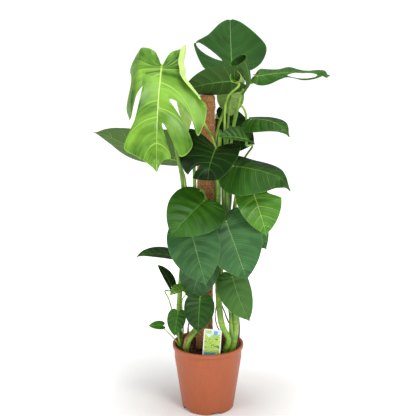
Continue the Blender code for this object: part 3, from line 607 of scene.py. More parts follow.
def vine(name):
    """The stem: a round tube whose radius swells and then pinches at each node. Each ring tilts to the side
    on which its leaf grew, by turns left and right."""
    (angle, share), climb, radii, spacing, side = VINES[name]
    x, y = (share * SOIL_RADIUS * f(math.radians(angle)) for f in (math.cos, math.sin))
    route = above_soil([(x, y, -ROOT_DEPTH), (x, y, HEADSPACE / 2), *climb])
    path = spline(route, 420)
    radius = np.interp(np.linspace(0, 1, len(path)), np.linspace(0, 1, len(radii)), radii)

    def joints(turn, run):
        """A wide swelling and a narrow pinch at each node, and a faint waver of the whole stem."""
        index = np.round(run / spacing)
        away = run - index * spacing - RING_TILT * np.cos(turn - side - math.pi * index)
        ring, scar = (np.exp(-((away / height) ** 2)) for height in (RING_HEIGHT, SCAR_HEIGHT))
        return 1 + (RING_SWELL * ring - SCAR_DEPTH * scar) + 0.012 * np.sin(3 * turn + 40 * run)

    grid, run, turn = sweep(path, radius, 48, shape=joints)
    made = solid(name + "_stem", [grid], maps=[np.stack([turn / (2 * math.pi), run / spacing], axis=-1)])
    return made, path, radius


def living_stalk(name, deep, light, rings="", speckle=0.0):
    """The smooth skin of a living stalk: pale yellow-green, waxy, a little translucent, streaked finely along
    its length. rings browns a narrow band at each whole step up the map of a stem, and speckle dots it. A
    leaf's stalk has neither, and has painted shade instead, deepening down to its foot among the other
    stalks."""
    made, tree, shader = finish(
        name, roughness=0.42, ior=1.42,
        subsurface_weight=0.12, subsurface_radius=(0.3, 0.8, 0.15), subsurface_scale=0.004,
    )
    place = add(tree, "TexCoord", output="Object")
    cloud = add(tree, "TexNoise", {"Vector": place, "Scale": 28, "Detail": 3})
    stretch = add(tree, "Mapping", {"Vector": place, "Scale": (900, 900, 25)})
    streak = add(tree, "TexNoise", {"Vector": stretch, "Scale": 1, "Detail": 2})
    both = add(tree, "Math", {0: streak, 1: 0.35, 2: cloud}, operation="MULTIPLY_ADD")
    mixed = add(tree, "MapRange", {0: both, 1: 0.5, 2: 0.85})
    along = add(tree, "SeparateXYZ", {0: add(tree, "UVMap", uv_map="UVMap")}, 1)
    if rings:
        nearest = add(tree, "Math", {0: along}, operation="ROUND")
        away = add(tree, "Math", {0: along, 1: nearest}, operation="SUBTRACT")
        away = add(tree, "Math", {0: away}, operation="ABSOLUTE")
        layers = [(add(tree, "MapRange", {0: away, 1: 0.012, 2: 0.05, 3: 0.45, 4: 0.0}), rings)]
        dots = add(tree, "TexVoronoi", {"Vector": place, "Scale": 700})
        dots = add(tree, "MapRange", {0: dots, 1: 0.10, 2: 0.2, 3: speckle, 4: 0.0})
        layers.append((dots, "#D9E8B0"))
    else:
        # Painted shade: a leaf's stalk darkens towards its foot, where the stalks crowd together under the
        # leaves
        layers = [(add(tree, "MapRange", {0: along, 1: 0.15, 2: 0.40, 3: 0.0, 4: 0.6}), "#33571A")]
    skin = {0: mixed, 6: colour(deep), 7: colour(light)}
    for mask, tint in layers:
        skin = {0: mask, 6: add(tree, "Mix", skin, 2, data_type="RGBA"), 7: colour(tint)}
    add(tree, "Mix", skin, 2, shader["Base Color"], data_type="RGBA")
    add(tree, "Bump", {"Height": streak, "Strength": 0.12, "Distance": 0.0006}, to=shader["Normal"])
    return made


stem_skin = living_stalk("waxy green stem", "#548628", "#92BC42", "#6E5A34", 0.3)
STEMS = {}
for name in VINES:
    made, *STEMS[name] = vine(name)
    settle(made, stem_skin, "vine", name)


# ------------------------------------------------------------------ leaves
# Each leaf is a leathery blade on a long stalk. The blade is a heart, or in older leaves a heart slit between
# its side veins into fingers. Its midrib and side veins are pale and sunk on the upper face and stand out on
# the paler, duller underside, and the blade swells a little between them. The stalk clasps the stem with a
# grooved sheath, and ends in a short thick knee under the blade.
BLADE_THICKNESS = 0.0007
KNEE = 0.020  # length of the swollen knee
KNEE_SWELL = 0.22  # as a share of the stalk's radius
NECK_PINCH = 0.08  # just before the knee, as a share of the stalk's radius
NECK_HEIGHT = 0.004
SHEATH = 0.16  # length of the grooved foot
SHEATH_GROOVE = 0.30  # depth as a share of the stalk's radius
STALK_GROOVE = 0.06
APPROACH = 0.022  # straight end of the stalk under the blade
FIRST_VEIN = 0.38  # share of the margin fed by veins that all leave the junction
VEIN_START = 0.012  # share of the midrib where those veins leave it
VEIN_REACH = 1.25  # power by which later veins start further along
CUT_FLARE = 2.2  # how far along the margin a slit pushes it aside, in widths of the slit
OUTLINE_STEPS = 900
HOOK_START = 0.75  # share of the midrib past which hook bends it down
HOOK_SLOPE = 5.0
HOOK_FALL = 0.625
FULL_PITCH = 0.016  # spacing of side veins at which the blade swells fully between them
FLAT_MARGIN = 0.25  # share of the way out over which the swelling dies away
MIDRIB_WIDTH = 0.0030
MIDRIB_SUNK = 0.0010
MIDRIB_KEEL = 0.0026  # how far it stands out underneath
VEIN_WIDTH = 0.0011
VEIN_KEEL = 0.0006
THIN_EDGE = 0.45  # thickness at the margin as a share of the middle's
# Half outlines, as shares of the blade's half width and of its length from the junction
HEART = [(0, 0), (0.10, -0.090), (0.29, -0.155), (0.53, -0.155), (0.78, -0.075), (0.95, 0.07), (1.0, 0.24),
         (0.95, 0.42), (0.80, 0.59), (0.56, 0.75), (0.29, 0.87), (0.11, 0.93), (0.035, 0.965), (0, 1)]
BLUNT = [(0, 0), (0.10, -0.10), (0.30, -0.17), (0.58, -0.17), (0.84, -0.06), (0.98, 0.12), (1.0, 0.36),
         (0.95, 0.60), (0.78, 0.82), (0.48, 0.96), (0.18, 1.0), (0, 1)]
FULL = [(0, 0), (0.15, -0.14), (0.45, -0.24), (0.85, -0.22), (1.15, -0.08), (1.25, 0.10), (1.15, 0.28),
        (0.97, 0.44), (0.83, 0.54), (0.68, 0.66), (0.48, 0.78), (0.26, 0.88), (0.10, 0.935), (0.03, 0.965),
        (0, 1)]
TOP_LEFT = [
    (0, 0, 0, 0), (0.3, -0.12, 0, 0.8), (0.72, -0.10, 0, 1.6), (0.92, 0.12, 0.01, 2.6),
    (1.08, 0.46, 0.06, 3.6), (1.02, 0.52, 0.08, 3.8), (0.96, 0.57, 0.12, 4.0), (0.64, 0.70, 0.30, 5.0),
    (0.34, 0.90, 0.55, 6.6), (0.12, 0.99, 0.85, 8), (0, 1, 1, 9),
]
TOP_RIGHT = [(0, 0), (0.35, -0.12), (0.72, -0.03), (0.96, 0.17), (1.01, 0.40), (0.73, 0.68), (0.37, 0.92),
             (0.11, 1.01), (0, 1)]
STRAP_FAR = [(0, 0), (0.12, -0.06), (0.50, -0.08), (0.95, 0.05), (1.0, 0.20), (0.80, 0.38), (0.62, 0.55),
             (0.60, 0.75), (0.40, 0.90), (0.10, 0.98), (0, 1)]
STRAP_NEAR = [(0, 0), (0.12, -0.08), (0.45, -0.12), (0.80, 0.0), (0.88, 0.18), (0.78, 0.36), (0.66, 0.50),
              (0.76, 0.68), (0.70, 0.87), (0.36, 0.96), (0.10, 0.99), (0, 1)]
SLIM = [(0, 0), (0.10, -0.05), (0.26, -0.06), (0.40, 0.02), (0.52, 0.14), (0.64, 0.28), (0.76, 0.42),
        (0.78, 0.56), (0.67, 0.68), (0.50, 0.77), (0.28, 0.875), (0.10, 0.94), (0.03, 0.97), (0, 1)]


def blade_rows(side, rows, across, cuts, own):
    """The margin share a of each grid point, one grid for each finger. A cut ends one finger and starts the
    next from its depth outwards, and pushes their edges apart: by a rounded slit that is widest at the
    margin, or, where it ends before the margin, by a lens that leaves a hole."""
    share = np.linspace(0, 1, rows + 1)
    mine = [(share[np.argmin(np.abs(share - own[at]))], *cut) for which, at, *cut in cuts if which == side]
    b = np.unique(np.r_[across, [depth for _, depth, *_ in mine], [end for *_, end in mine]])
    pieces = [share]
    for at, *_ in mine:
        last = pieces.pop()
        pieces += [last[last <= at], last[last >= at]]
    made = []
    ends = [None, *[(depth, end) for _, depth, _, end in mine], None]
    for piece, first, last in zip(pieces, ends, ends[1:]):
        grid = np.repeat(piece[:, None], len(b), axis=1)
        for at, depth, gap, end in mine:
            along = np.clip((b - depth) / (end - depth), 0, 1)
            width = gap * np.sqrt(along if end == 1 else np.sin(math.pi * along) * (along < 1))
            near = np.clip(1 - np.abs(piece - at) / (CUT_FLARE * gap), 0, 1)[:, None]
            grid = grid + (-0.5 if piece.mean() < at else 0.5) * width[None, :] * near
        made.append((grid, first, last))
    return made, b[None, :]


def blade_flat(a, b, edge, start, veins):
    """Flat place of each grid point. A line of constant a is a side vein: a parabola that leaves the midrib
    at start and sweeps forward to the point at share a along the margin."""
    share = np.linspace(0, 1, len(edge))
    ex, ey = np.interp(a, share, edge[:, 0]), np.interp(a, share, edge[:, 1])
    cx, cy = veins[0] * ex, start + veins[1] * (ey - start)
    return 2 * cx * b * (1 - b) + ex * b**2, start * (1 - b) ** 2 + 2 * cy * b * (1 - b) + ey * b**2


def ease(t):
    """t held between 0 and 1 and eased by 3t^2 - 2t^3."""
    t = np.clip(t, 0, 1)
    return t * t * (3 - 2 * t)


def bent(first, more, rolls, x, y):
    """Way out, lift and lean of each point, in half widths and radians. Across the blade it leans by first +
    more x, and each roll leans it by its own angle more past a line of (y, x) points. The way out and the
    lift are the sums of the lean's cosine and sine, read from a fine table."""
    across, along = np.linspace(0, 1.25, 501), np.linspace(-0.35, 1.1, 146)
    lean = first + more * across + 0 * along[:, None]
    for angle, line in rolls:
        heights, places = np.array(line).T
        line = np.interp(along, heights, places)[:, None]
        window = ease((along - heights[0]) / 0.10 + 1) * ease((heights[-1] - along) / 0.10 + 1)
        lean = lean + math.radians(angle) * window[:, None] * ease((across - line) / 0.09)
    reach = across[1] - across[0]
    tables = [np.cumsum(f(lean), axis=1) * reach - f(lean) * reach / 2 for f in (np.cos, np.sin)]
    u = np.clip(x / across[-1], 0, 0.999) * (len(across) - 1)
    v = np.clip((y - along[0]) / (along[-1] - along[0]), 0, 0.999) * (len(along) - 1)
    i, j = u.astype(int), v.astype(int)
    u, v = u - i, v - j
    found = []
    for table in (*tables, lean):
        low = table[j, i] * (1 - u) + table[j, i + 1] * u
        high = table[j + 1, i] * (1 - u) + table[j + 1, i + 1] * u
        found.append(low * (1 - v) + high * v)
    return found


def blade(name, junction, tip, face, width, bow=0.05, fold=(0, 0), curl=(0, 0), lobes=(0, 0), twist=0.0,
          wave=0.0, cuts=(), outline=(HEART, HEART), veins=(0.55, 0.30), ribs=9, swell=0.0008, hook=0.0,
          rolls=((), ()), ripples=9.5, sway=0.0, sides=(1, 1), rows=150, columns=22):
    """Upper and lower face of one blade, joined along the margin and the slits.

    The midrib is a parabola from junction to tip that bows towards the upper face, its last part bent down
    by hook and all of it curving sideways by sway. Each half turns up from it by fold degrees, by curl
    degrees more at the margin, and by its rolls; the basal lobes lift by lobes metres. Between the side
    veins the blade swells by a cosine, and a sine wave runs along the margin. In a pair of values the first
    is for the left half, seen from above, tip ahead, and sides is each half's own share of the width. An
    outline point may also give where its vein leaves the midrib, and its count of veins from the junction.
    """
    junction, tip = above_soil(junction), above_soil(tip)
    length = np.linalg.norm(tip - junction)
    ahead = (tip - junction) / length
    up = unit(np.array(face, float) - ahead * (np.array(face, float) @ ahead))
    right = np.cross(ahead, up)
    half = width / 2
    points, faces, maps, pitches, under, ridge = [], [], [], [], [], []
    start = 0
    for side, sign in ((0, -1.0), (1, 1.0)):
        drawn = np.array(outline[side], float)
        drawn[:, 0] *= sides[side]
        edge = spline(drawn[:, :2], OUTLINE_STEPS)
        own = [np.argmin(np.linalg.norm(edge - p, axis=1)) / (OUTLINE_STEPS - 1) for p in drawn[:, :2]]
        pieces, b = blade_rows(side, rows, np.linspace(0, 1, columns) ** 1.35, cuts, own)
        for a, *depths in pieces:
            late = np.clip((a - FIRST_VEIN) / (1 - FIRST_VEIN), 0, 1) ** VEIN_REACH
            begin, step = VEIN_START + (1 - VEIN_START) * late, a * ribs
            if drawn.shape[1] == 4:
                begin, step = (np.interp(a, own, column) for column in drawn.T[2:])
            x, y = blade_flat(a, b, edge, begin, veins)
            # The midrib, and the directions across and off the blade
            past = np.clip((y - HOOK_START) / (1 - HOOK_START), 0, 1)
            slope = (4 * bow * (1 - 2 * y) - hook * HOOK_SLOPE * past)[..., None]
            tangent = ahead + slope * up
            tangent /= np.linalg.norm(tangent, axis=-1)[..., None]
            normal = np.cross(right, tangent)
            turn = np.radians(twist * y)[..., None]
            sideways = right * np.cos(turn) + normal * np.sin(turn)
            normal = normal * np.cos(turn) - right * np.sin(turn)
            spine = junction + (length * y)[..., None] * ahead
            dip = hook * length * HOOK_FALL * past**2
            spine = spine + (4 * bow * length * y * (1 - y) - dip)[..., None] * up
            spine = spine + (4 * sway * y * (1 - y))[..., None] * right
            # The middle of the sheet: out from the midrib, lifted by its bend, its lobes and its wave
            out, lift, lean = bent(math.radians(fold[side]), math.radians(curl[side]), rolls[side], x, y)
            lift = half * lift + lobes[side] * x * np.clip((0.30 - y) / 0.45, 0, 1) ** 2
            lift = lift + wave * np.sin(ripples * a + 1.7 * side) * b**2
            middle = spine + (sign * half * out)[..., None] * sideways + lift[..., None] * normal
            lean = (lean * np.clip(x * half / 0.004, 0, 1))[..., None]
            outward = normal * np.cos(lean) - sign * sideways * np.sin(lean)
            # The relief: swellings between the side veins, the sunk midrib, and ridges under both
            pitch = np.linalg.norm(np.gradient(middle, axis=0), axis=-1)
            pitch = pitch / np.maximum(np.gradient(step, axis=0), 1e-4)
            across = np.abs(step - np.round(step)) * pitch
            room = np.clip(pitch / FULL_PITCH, 0, 1) * np.clip((1 - b) / FLAT_MARGIN, 0, 1)
            relief = -swell * np.cos(2 * math.pi * step) * room * np.clip(x * half / 0.006, 0, 1)
            rib = x * half / (MIDRIB_WIDTH * (1.08 - y))
            relief = relief - MIDRIB_SUNK * np.exp(-(rib**2)) * (1 - y)
            middle = middle + relief[..., None] * outward
            keel = MIDRIB_KEEL * (1 - y) * np.exp(-(rib**2) / 1.6)
            keel = keel + VEIN_KEEL * np.exp(-((across / VEIN_WIDTH) ** 2)) * room
            thick = BLADE_THICKNESS * (THIN_EDGE + (1 - THIN_EDGE) * np.sqrt(np.clip(1 - b, 0, 1)))
            # Its two faces, and the strips that join them along the margin and the slits
            r, c = a.shape
            grid = start + np.arange(r * c).reshape(r, c)
            open_edges = [grid[:, -1]]
            for row, depth in zip((grid[0], grid[-1]), depths):
                if depth is not None:
                    open_edges.append(row[(b[0] >= depth[0]) & (b[0] <= depth[1])])
            for line in open_edges:
                faces.append(np.stack([line[:-1], line[1:], line[1:] + r * c, line[:-1] + r * c], axis=1))
            faces += [start + cells(r, c), start + cells(r, c) + r * c]
            start += 2 * r * c
            points.append((middle + outward * (thick / 2)[..., None]).reshape(-1, 3))
            points.append((middle - outward * (thick / 2 + keel)[..., None]).reshape(-1, 3))
            maps += [np.stack([step, np.broadcast_to(b, a.shape)], axis=-1)] * 2
            pitches += [pitch] * 2
            under += [np.zeros(r * c), np.ones(r * c)]
            ridge += [rib] * 2
    fields = {"pitch": pitches, "under": under, "rib": ridge}
    return shell(name, np.vstack(points), np.vstack(faces), maps, fields, 60), ahead, up


def side_veins(tree, step, pitch, taper, count, inner, outer):
    """1 on each of count side veins per step, falling to 0 from inner to outer metres away from it."""
    step = add(tree, "Math", {0: step, 1: count}, operation="MULTIPLY")
    nearest = add(tree, "Math", {0: step}, operation="ROUND")
    away = add(tree, "Math", {0: step, 1: nearest}, operation="SUBTRACT")
    away = add(tree, "Math", {0: away}, operation="ABSOLUTE")
    away = add(tree, "Math", {0: away, 1: pitch}, operation="MULTIPLY")
    away = add(tree, "Math", {0: away, 1: taper}, operation="DIVIDE")
    return add(tree, "MapRange", {0: away, 1: inner * count, 2: outer * count, 3: 1.0, 4: 0.0})


def leaf_skin(name, deep, light, vein, back, gloss=0.36, glow=0.05, bright=0.18, shine=0.32):
    """The skin of a monstera blade. The upper face is waxy, and deep green with paler, yellower veins: a bold
    midrib, clear side veins, and fine ones between them that show as a faint ribbing. The underside is
    paler and dull. The cut edge is a thin pale line. gloss is its roughness, glow lets light into a young,
    thin blade, bright is how far its side veins stand out, and shine is how strongly its wax reflects."""
    made, tree, shader = finish(
        name, ior=1.42, specular_ior_level=shine,
        subsurface_weight=glow, subsurface_radius=(0.4, 1.0, 0.12), subsurface_scale=0.003,
    )
    place = add(tree, "TexCoord", output="Object")
    where = add(tree, "UVMap", uv_map="UVMap")
    step, across = (add(tree, "SeparateXYZ", {0: where}, axis) for axis in (0, 1))
    pitch, under, rib = (
        add(tree, "Attribute", output="Fac", attribute_name=key) for key in ("pitch", "under", "rib")
    )
    taper = add(tree, "MapRange", {0: across, 1: 0.0, 2: 1.0, 3: 1.25, 4: 0.35})
    bold = side_veins(tree, step, pitch, taper, 1, 0.0004, 0.0013)
    halo = side_veins(tree, step, pitch, taper, 1, 0.0, 0.0060)
    fine = side_veins(tree, step, pitch, taper, 5, 0.0001, 0.0007)
    midrib = add(tree, "MapRange", {0: rib, 1: 0.45, 2: 0.95, 3: 1.0, 4: 0.0})
    edge = add(tree, "MapRange", {0: across, 1: 0.975, 2: 1.0, 3: 0.0, 4: 0.55})
    cloud = add(tree, "TexNoise", {"Vector": place, "Scale": 9, "Detail": 3})
    panel = add(tree, "CombineXYZ", {0: step, 1: across, 2: under})
    panel = add(tree, "Mapping", {"Vector": panel, "Scale": (2.4, 0.8, 1)})
    panel = add(tree, "TexNoise", {"Vector": panel, "Scale": 1, "Detail": 3, "Roughness": 0.6})
    cloud = add(tree, "Math", {0: cloud, 1: panel}, operation="ADD")
    cloud = add(tree, "MapRange", {0: cloud, 1: 0.75, 2: 1.25})
    layers = (
        (halo, 0.2 + 0.3 * bright, light),
        (fine, 0.14, vein),
        (bold, bright, vein),
        (midrib, 0.45 + 0.5 * bright, vein),
        (edge, 0.6, vein),
    )
    upper = add(tree, "Mix", {0: cloud, 6: colour(deep), 7: colour(light)}, 2, data_type="RGBA")
    lower = colour(back)
    for mask, strength, tint in layers:
        amount = add(tree, "Math", {0: mask, 1: strength}, operation="MULTIPLY")
        upper = add(tree, "Mix", {0: amount, 6: upper, 7: colour(tint)}, 2, data_type="RGBA")
    for mask, strength in ((fine, 0.25), (bold, 0.6), (midrib, 0.9)):
        amount = add(tree, "Math", {0: mask, 1: strength}, operation="MULTIPLY")
        lower = add(tree, "Mix", {0: amount, 6: lower, 7: colour(vein)}, 2, data_type="RGBA")
    add(tree, "Mix", {0: under, 6: upper, 7: lower}, 2, shader["Base Color"], data_type="RGBA")
    dull = add(tree, "MapRange", {0: under, 3: gloss, 4: 0.62})
    add(tree, "Math", {0: cloud, 1: 0.08, 2: dull}, to=shader["Roughness"], operation="MULTIPLY_ADD")
    cells = add(tree, "TexNoise", {"Vector": place, "Scale": 420, "Detail": 3})
    height = add(tree, "Math", {0: fine, 1: -0.6, 2: cells}, operation="MULTIPLY_ADD")
    add(tree, "Bump", {"Height": height, "Strength": 0.25, "Distance": 0.0003}, to=shader["Normal"])
    return made


def on_stem(stem, z):
    """The point at height z on a stem's axis."""
    return np.array([np.interp(z, stem[:, 2], axis) for axis in stem.T])


def petiole(name, vine_name, height, route, radii, junction, ahead, up, droop):
    """The stalk: from inside its stem at this height, through the route, to just under the blade. It thins
    from foot to top, is grooved where it sheathes the stem, and swells again at the knee."""
    foot, top = radii
    stem, thick = STEMS[vine_name]
    z = height + SOIL_LEVEL
    spot, below = on_stem(stem, z), on_stem(stem, z - 3 * foot)
    route = above_soil(route)
    out = unit([route[0][0] - spot[0], route[0][1] - spot[1], 0])
    start = spot + out * (np.interp(z, stem[:, 2], thick) + foot * 0.8)
    arrive = unit(ahead * droop + up)
    end = above_soil(junction) - up * (BLADE_THICKNESS + 0.6 * top)
    path = spline([below, start, *route, end - arrive * APPROACH, end], 260)
    run = lengths(path)
    left = run[-1] - run
    radius = top + (foot - top) * np.clip(1 - run / (0.75 * run[-1]), 0, 1) ** 1.3
    knee, neck = np.exp(-((left / KNEE) ** 4)), np.exp(-(((left - KNEE) / NECK_HEIGHT) ** 2))
    radius = radius * (1 + KNEE_SWELL * knee - NECK_PINCH * neck)

    def groove(turn, run):
        """A channel on the side towards the stem, deep at the foot and faint further up."""
        deep = SHEATH_GROOVE * np.clip(1 - run / SHEATH, 0, 1) + STALK_GROOVE
        return 1 - deep * np.clip(np.cos(turn), 0, 1) ** 3 + 0.012 * np.cos(5 * turn)

    grid, run, turn = sweep(path, radius, 28, side=spot - start, shape=groove)
    place = np.stack([turn / (2 * math.pi), run.max() - run], axis=-1)
    return solid(name, [grid], maps=[place])


def leaf(name, vine_name, height, junction, tip, face, width, route, skin="mature", droop=0.4,
         radii=(0.0076, 0.0036), **shape):
    """One leaf: its blade, and the stalk that carries it from this height on its vine. droop is how far the
    stalk arrives from behind the blade, and not from under it; radii are its own at foot and top."""
    made, ahead, up = blade(name + "_leaf", junction, tip, face, width, **shape)
    settle(made, SKINS[skin], "fresh_leaf" if "blade_" + name in FRESH else "dark_leaf", "blade_" + name)
    stalk = petiole(name + "_stalk", vine_name, height, route, radii, junction, ahead, up, droop)
    settle(stalk, stalk_skin, "petiole", "petiole_" + name)


FRESH = {s["node"] for s in frame["record"]["subparts"] if s["material_slot"] == "fresh_leaf"}
stalk_skin = living_stalk("waxy green leaf stalk", "#58882A", "#A0C64C")
SKINS = {
    # Painted shade: the plain skin's dark underside colour stands in for the shadow on the leaf behind the
    # top
    "plain": leaf_skin("full-grown monstera leaf", "#1C4308", "#33680F", "#5F9A30", "#33501E", bright=0.12),
    "high": leaf_skin("upper monstera leaf", "#0F2F04", "#1E4A08", "#5F9A30", "#33501E", bright=0.12),
    "mature": leaf_skin("mature monstera leaf", "#193C0A", "#305E19", "#86AC4C", "#46622C"),
    # Painted reflection: the bluish cast of this skin's greens stands in for the sheen the lower hanging
    # leaves reflect
    "blue": leaf_skin("monstera leaf with painted bluish sheen", "#284E29", "#457540", "#86AC66", "#55724A"),
    # Partly painted shade: a near-black copy of the leaf greens, for leaves that lie deep in the plant's
    # shadow
    "dark": leaf_skin(
        "deep green monstera leaf with painted shade", "#061503", "#0E2A09", "#5F9436", "#4C6C34", bright=0.3, shine=0.14
    ),
    "bright": leaf_skin(
        "half-grown monstera leaf", "#366C18", "#5C9430", "#B4D468", "#86A058", 0.36, 0.10, 0.5
    ),
    "young": leaf_skin("young monstera leaf", "#265408", "#7CAA3A", "#CFEA80", "#B2CE7A", 0.26, 0.10, 0.42),
    "olive": leaf_skin("dull monstera leaf", "#396526", "#487430", "#86A85A", "#5E7C40", 0.5),
}


# For each leaf: its vine and the height where its stalk leaves it, its junction, its tip, the way it faces
# and its width, then the stalk's route, then the blade's shape
leaf("top", "vine_pole", 0.437, (0.076, 0.010, 0.935), (0.073, 0.130, 1.095), (0, -1, 0.25), 0.225,
     [(0.056, -0.006, 0.497), (0.060, -0.010, 0.657), (0.066, -0.006, 0.787), (0.076, 0.002, 0.867)],
     skin="high", bow=-0.05, fold=(4, 4), curl=(6, 10), wave=0.003, outline=(TOP_LEFT, TOP_RIGHT),
     cuts=((0, 5, 0.24, 0.095, 0.985),))
leaf("right", "vine_pole", 0.387, (0.156, -0.030, 0.909), (0.367, -0.110, 0.917), (0, -0.45, 1), 0.092,
     [(0.062, -0.054, 0.457), (0.063, -0.056, 0.637), (0.092, -0.040, 0.797), (0.112, -0.034, 0.872)],
     bow=0.03, fold=(2, -14), curl=(6, -24), hook=0.06, twist=14, wave=0.005, ripples=24,
     outline=(STRAP_FAR, STRAP_NEAR), cuts=((1, 8, 0.16, 0.20, 0.92),), droop=0.9)
# Painted shade: its underside faces forward in shadow, and the plain skin's dark underside paints that shade
leaf("behind_top", "vine_pole", 0.427, (0.084, -0.070, 0.894), (-0.085, -0.052, 0.862),
     (0, 0.65, 0.75), 0.150, [(0.052, -0.046, 0.497), (0.053, -0.048, 0.677), (0.056, -0.060, 0.827)],
     skin="plain", fold=(4, 4), curl=(10, 10), sides=(0.85, 1))
# The newest open leaf, much larger than the rest, is slit into fingers. Its outline runs in along each slit
# and out again. Its far margin is rolled over towards its face, and its near lobe hangs back.
GREAT_SPREAD = [
    (0, 0, 0, 0), (0.06, -0.085, 0, 0.1), (0.15, -0.165, 0, 0.4), (0.31, -0.20, 0, 0.7),
    (0.45, -0.24, 0, 1.0), (0.58, -0.17, 0, 1.3), (0.63, -0.05, 0.01, 1.7), (0.65, 0.03, 0.02, 2.0),
    (0.74, 0.12, 0.03, 2.3), (0.89, 0.23, 0.05, 2.6), (0.96, 0.34, 0.08, 2.75), (0.97, 0.46, 0.11, 2.85),
    (0.91, 0.57, 0.14, 2.95), (0.81, 0.65, 0.16, 3.0), (0.67, 0.50, 0.19, 3.15), (0.52, 0.42, 0.21, 3.3),
    (0.37, 0.345, 0.23, 3.45), (0.22, 0.32, 0.25, 3.5), (0.28, 0.39, 0.29, 3.55), (0.41, 0.47, 0.33, 3.65),
    (0.53, 0.56, 0.36, 3.8), (0.65, 0.65, 0.39, 3.9), (0.71, 0.74, 0.41, 4.0), (0.61, 0.82, 0.43, 4.2),
    (0.47, 0.85, 0.45, 4.35), (0.39, 0.79, 0.47, 4.4), (0.26, 0.67, 0.50, 4.45), (0.15, 0.58, 0.53, 4.48),
    (0.09, 0.56, 0.55, 4.5), (0.14, 0.64, 0.60, 4.55), (0.21, 0.745, 0.66, 4.7), (0.28, 0.86, 0.74, 5.0),
    (0.16, 0.885, 0.82, 5.3), (0.07, 0.93, 0.90, 5.6), (0, 1, 1, 6),
]
GREAT_HANGING = [
    (0, 0, 0, 0), (0.11, -0.115, 0, 0.2), (0.22, -0.175, 0, 0.45), (0.42, -0.20, 0, 0.75),
    (0.76, -0.17, 0, 1.0), (0.92, -0.09, 0, 1.4), (0.76, 0.05, 0.01, 1.8), (0.74, 0.16, 0.02, 2.1),
    (0.82, 0.30, 0.035, 2.5), (0.82, 0.41, 0.05, 2.8), (0.58, 0.54, 0.07, 3.0), (0.62, 0.42, 0.085, 3.1),
    (0.66, 0.30, 0.10, 3.25), (0.62, 0.16, 0.11, 3.35), (0.48, 0.06, 0.115, 3.42), (0.36, 0.08, 0.12, 3.5),
    (0.33, 0.17, 0.15, 3.55), (0.35, 0.28, 0.20, 3.65), (0.39, 0.41, 0.27, 3.8), (0.45, 0.55, 0.34, 4.0),
    (0.54, 0.66, 0.42, 4.4), (0.64, 0.80, 0.50, 5.0), (0.44, 0.86, 0.62, 5.5), (0.25, 0.905, 0.74, 6.0),
    (0.09, 0.955, 0.88, 6.6), (0, 1, 1, 7),
]
leaf("great", "vine_outer", 0.337, (-0.141, -0.090, 0.934), (-0.152, -0.195, 0.624), (0.1, -1, 0.35), 0.300,
     [(-0.086, -0.024, 0.397), (-0.080, -0.050, 0.557), (-0.107, -0.060, 0.720), (-0.130, -0.058, 0.857)],
     skin="young", bow=0.07, fold=(6, 4), curl=(-14, -10), sway=0.006, wave=0.003,
     outline=(GREAT_SPREAD, GREAT_HANGING), veins=(0.75, 0.15), swell=0.0022,
     rolls=(
         [(150, [(-0.3, 0.39), (-0.1, 0.41), (0, 0.42), (0.1, 0.48), (0.15, 0.54), (0.3, 0.80)])],
         [(-62, [(-0.3, 0.42), (0.5, 0.42)])],
     ),
     rows=300, columns=34, radii=(0.007, 0.005))
# One narrow finger of the great leaf has turned over and hangs behind the slit, its dull underside forward.
finger, *_ = blade("great_leaf_finger", (-0.076, -0.104, 0.852), (-0.060, -0.082, 0.736), face=(0, 1, 0.1),
                   width=0.046, bow=0.04, fold=(8, 8), curl=(10, 10))
settle(finger, SKINS["young"], "fresh_leaf", "blade_great")
leaf("left_back", "vine_outer", 0.327, (-0.090, 0.038, 0.636), (-0.374, 0.060, 0.741), (0, 0.7, 0.75), 0.196,
     [(-0.070, 0.026, 0.397), (-0.074, 0.030, 0.557)],
     bow=-0.06, fold=(6, 6), curl=(6, 6), hook=0.10, outline=(FULL, SLIM))
leaf("centre", "vine_left", 0.457, (0.024, -0.075, 0.685), (-0.002, -0.180, 0.611), (-0.1, -0.5, 0.85), 0.190,
     [(-0.042, -0.048, 0.517), (-0.044, -0.044, 0.697), (-0.028, -0.048, 0.772), (0.000, -0.056, 0.742)],
     skin="dark", bow=0.06, fold=(10, 24), curl=(6, 10), hook=0.20, lobes=(0.0, 0.02), sides=(0.92, 1.22),
     outline=(BLUNT, BLUNT), cuts=((1, 9, 0.50, 0.05, 1),), droop=1.0)
leaf("right_high", "vine_pole", 0.397, (0.138, -0.030, 0.775), (0.252, -0.110, 0.738), (0, -0.4, 0.95), 0.120,
     [(0.071, -0.012, 0.497), (0.075, -0.012, 0.697), (0.092, -0.010, 0.812), (0.116, -0.018, 0.803)],
     bow=0.10, fold=(-6, -10), curl=(-10, -30), hook=0.18, wave=0.004, droop=1.0)
leaf("front_curl", "vine_right", 0.397, (0.122, -0.070, 0.714), (0.030, -0.110, 0.725), (0, -0.6, 0.8), 0.080,
     [(0.086, -0.026, 0.497), (0.110, 0.004, 0.627), (0.142, -0.020, 0.687)],
     bow=0.03, fold=(14, 14), curl=(20, 20))
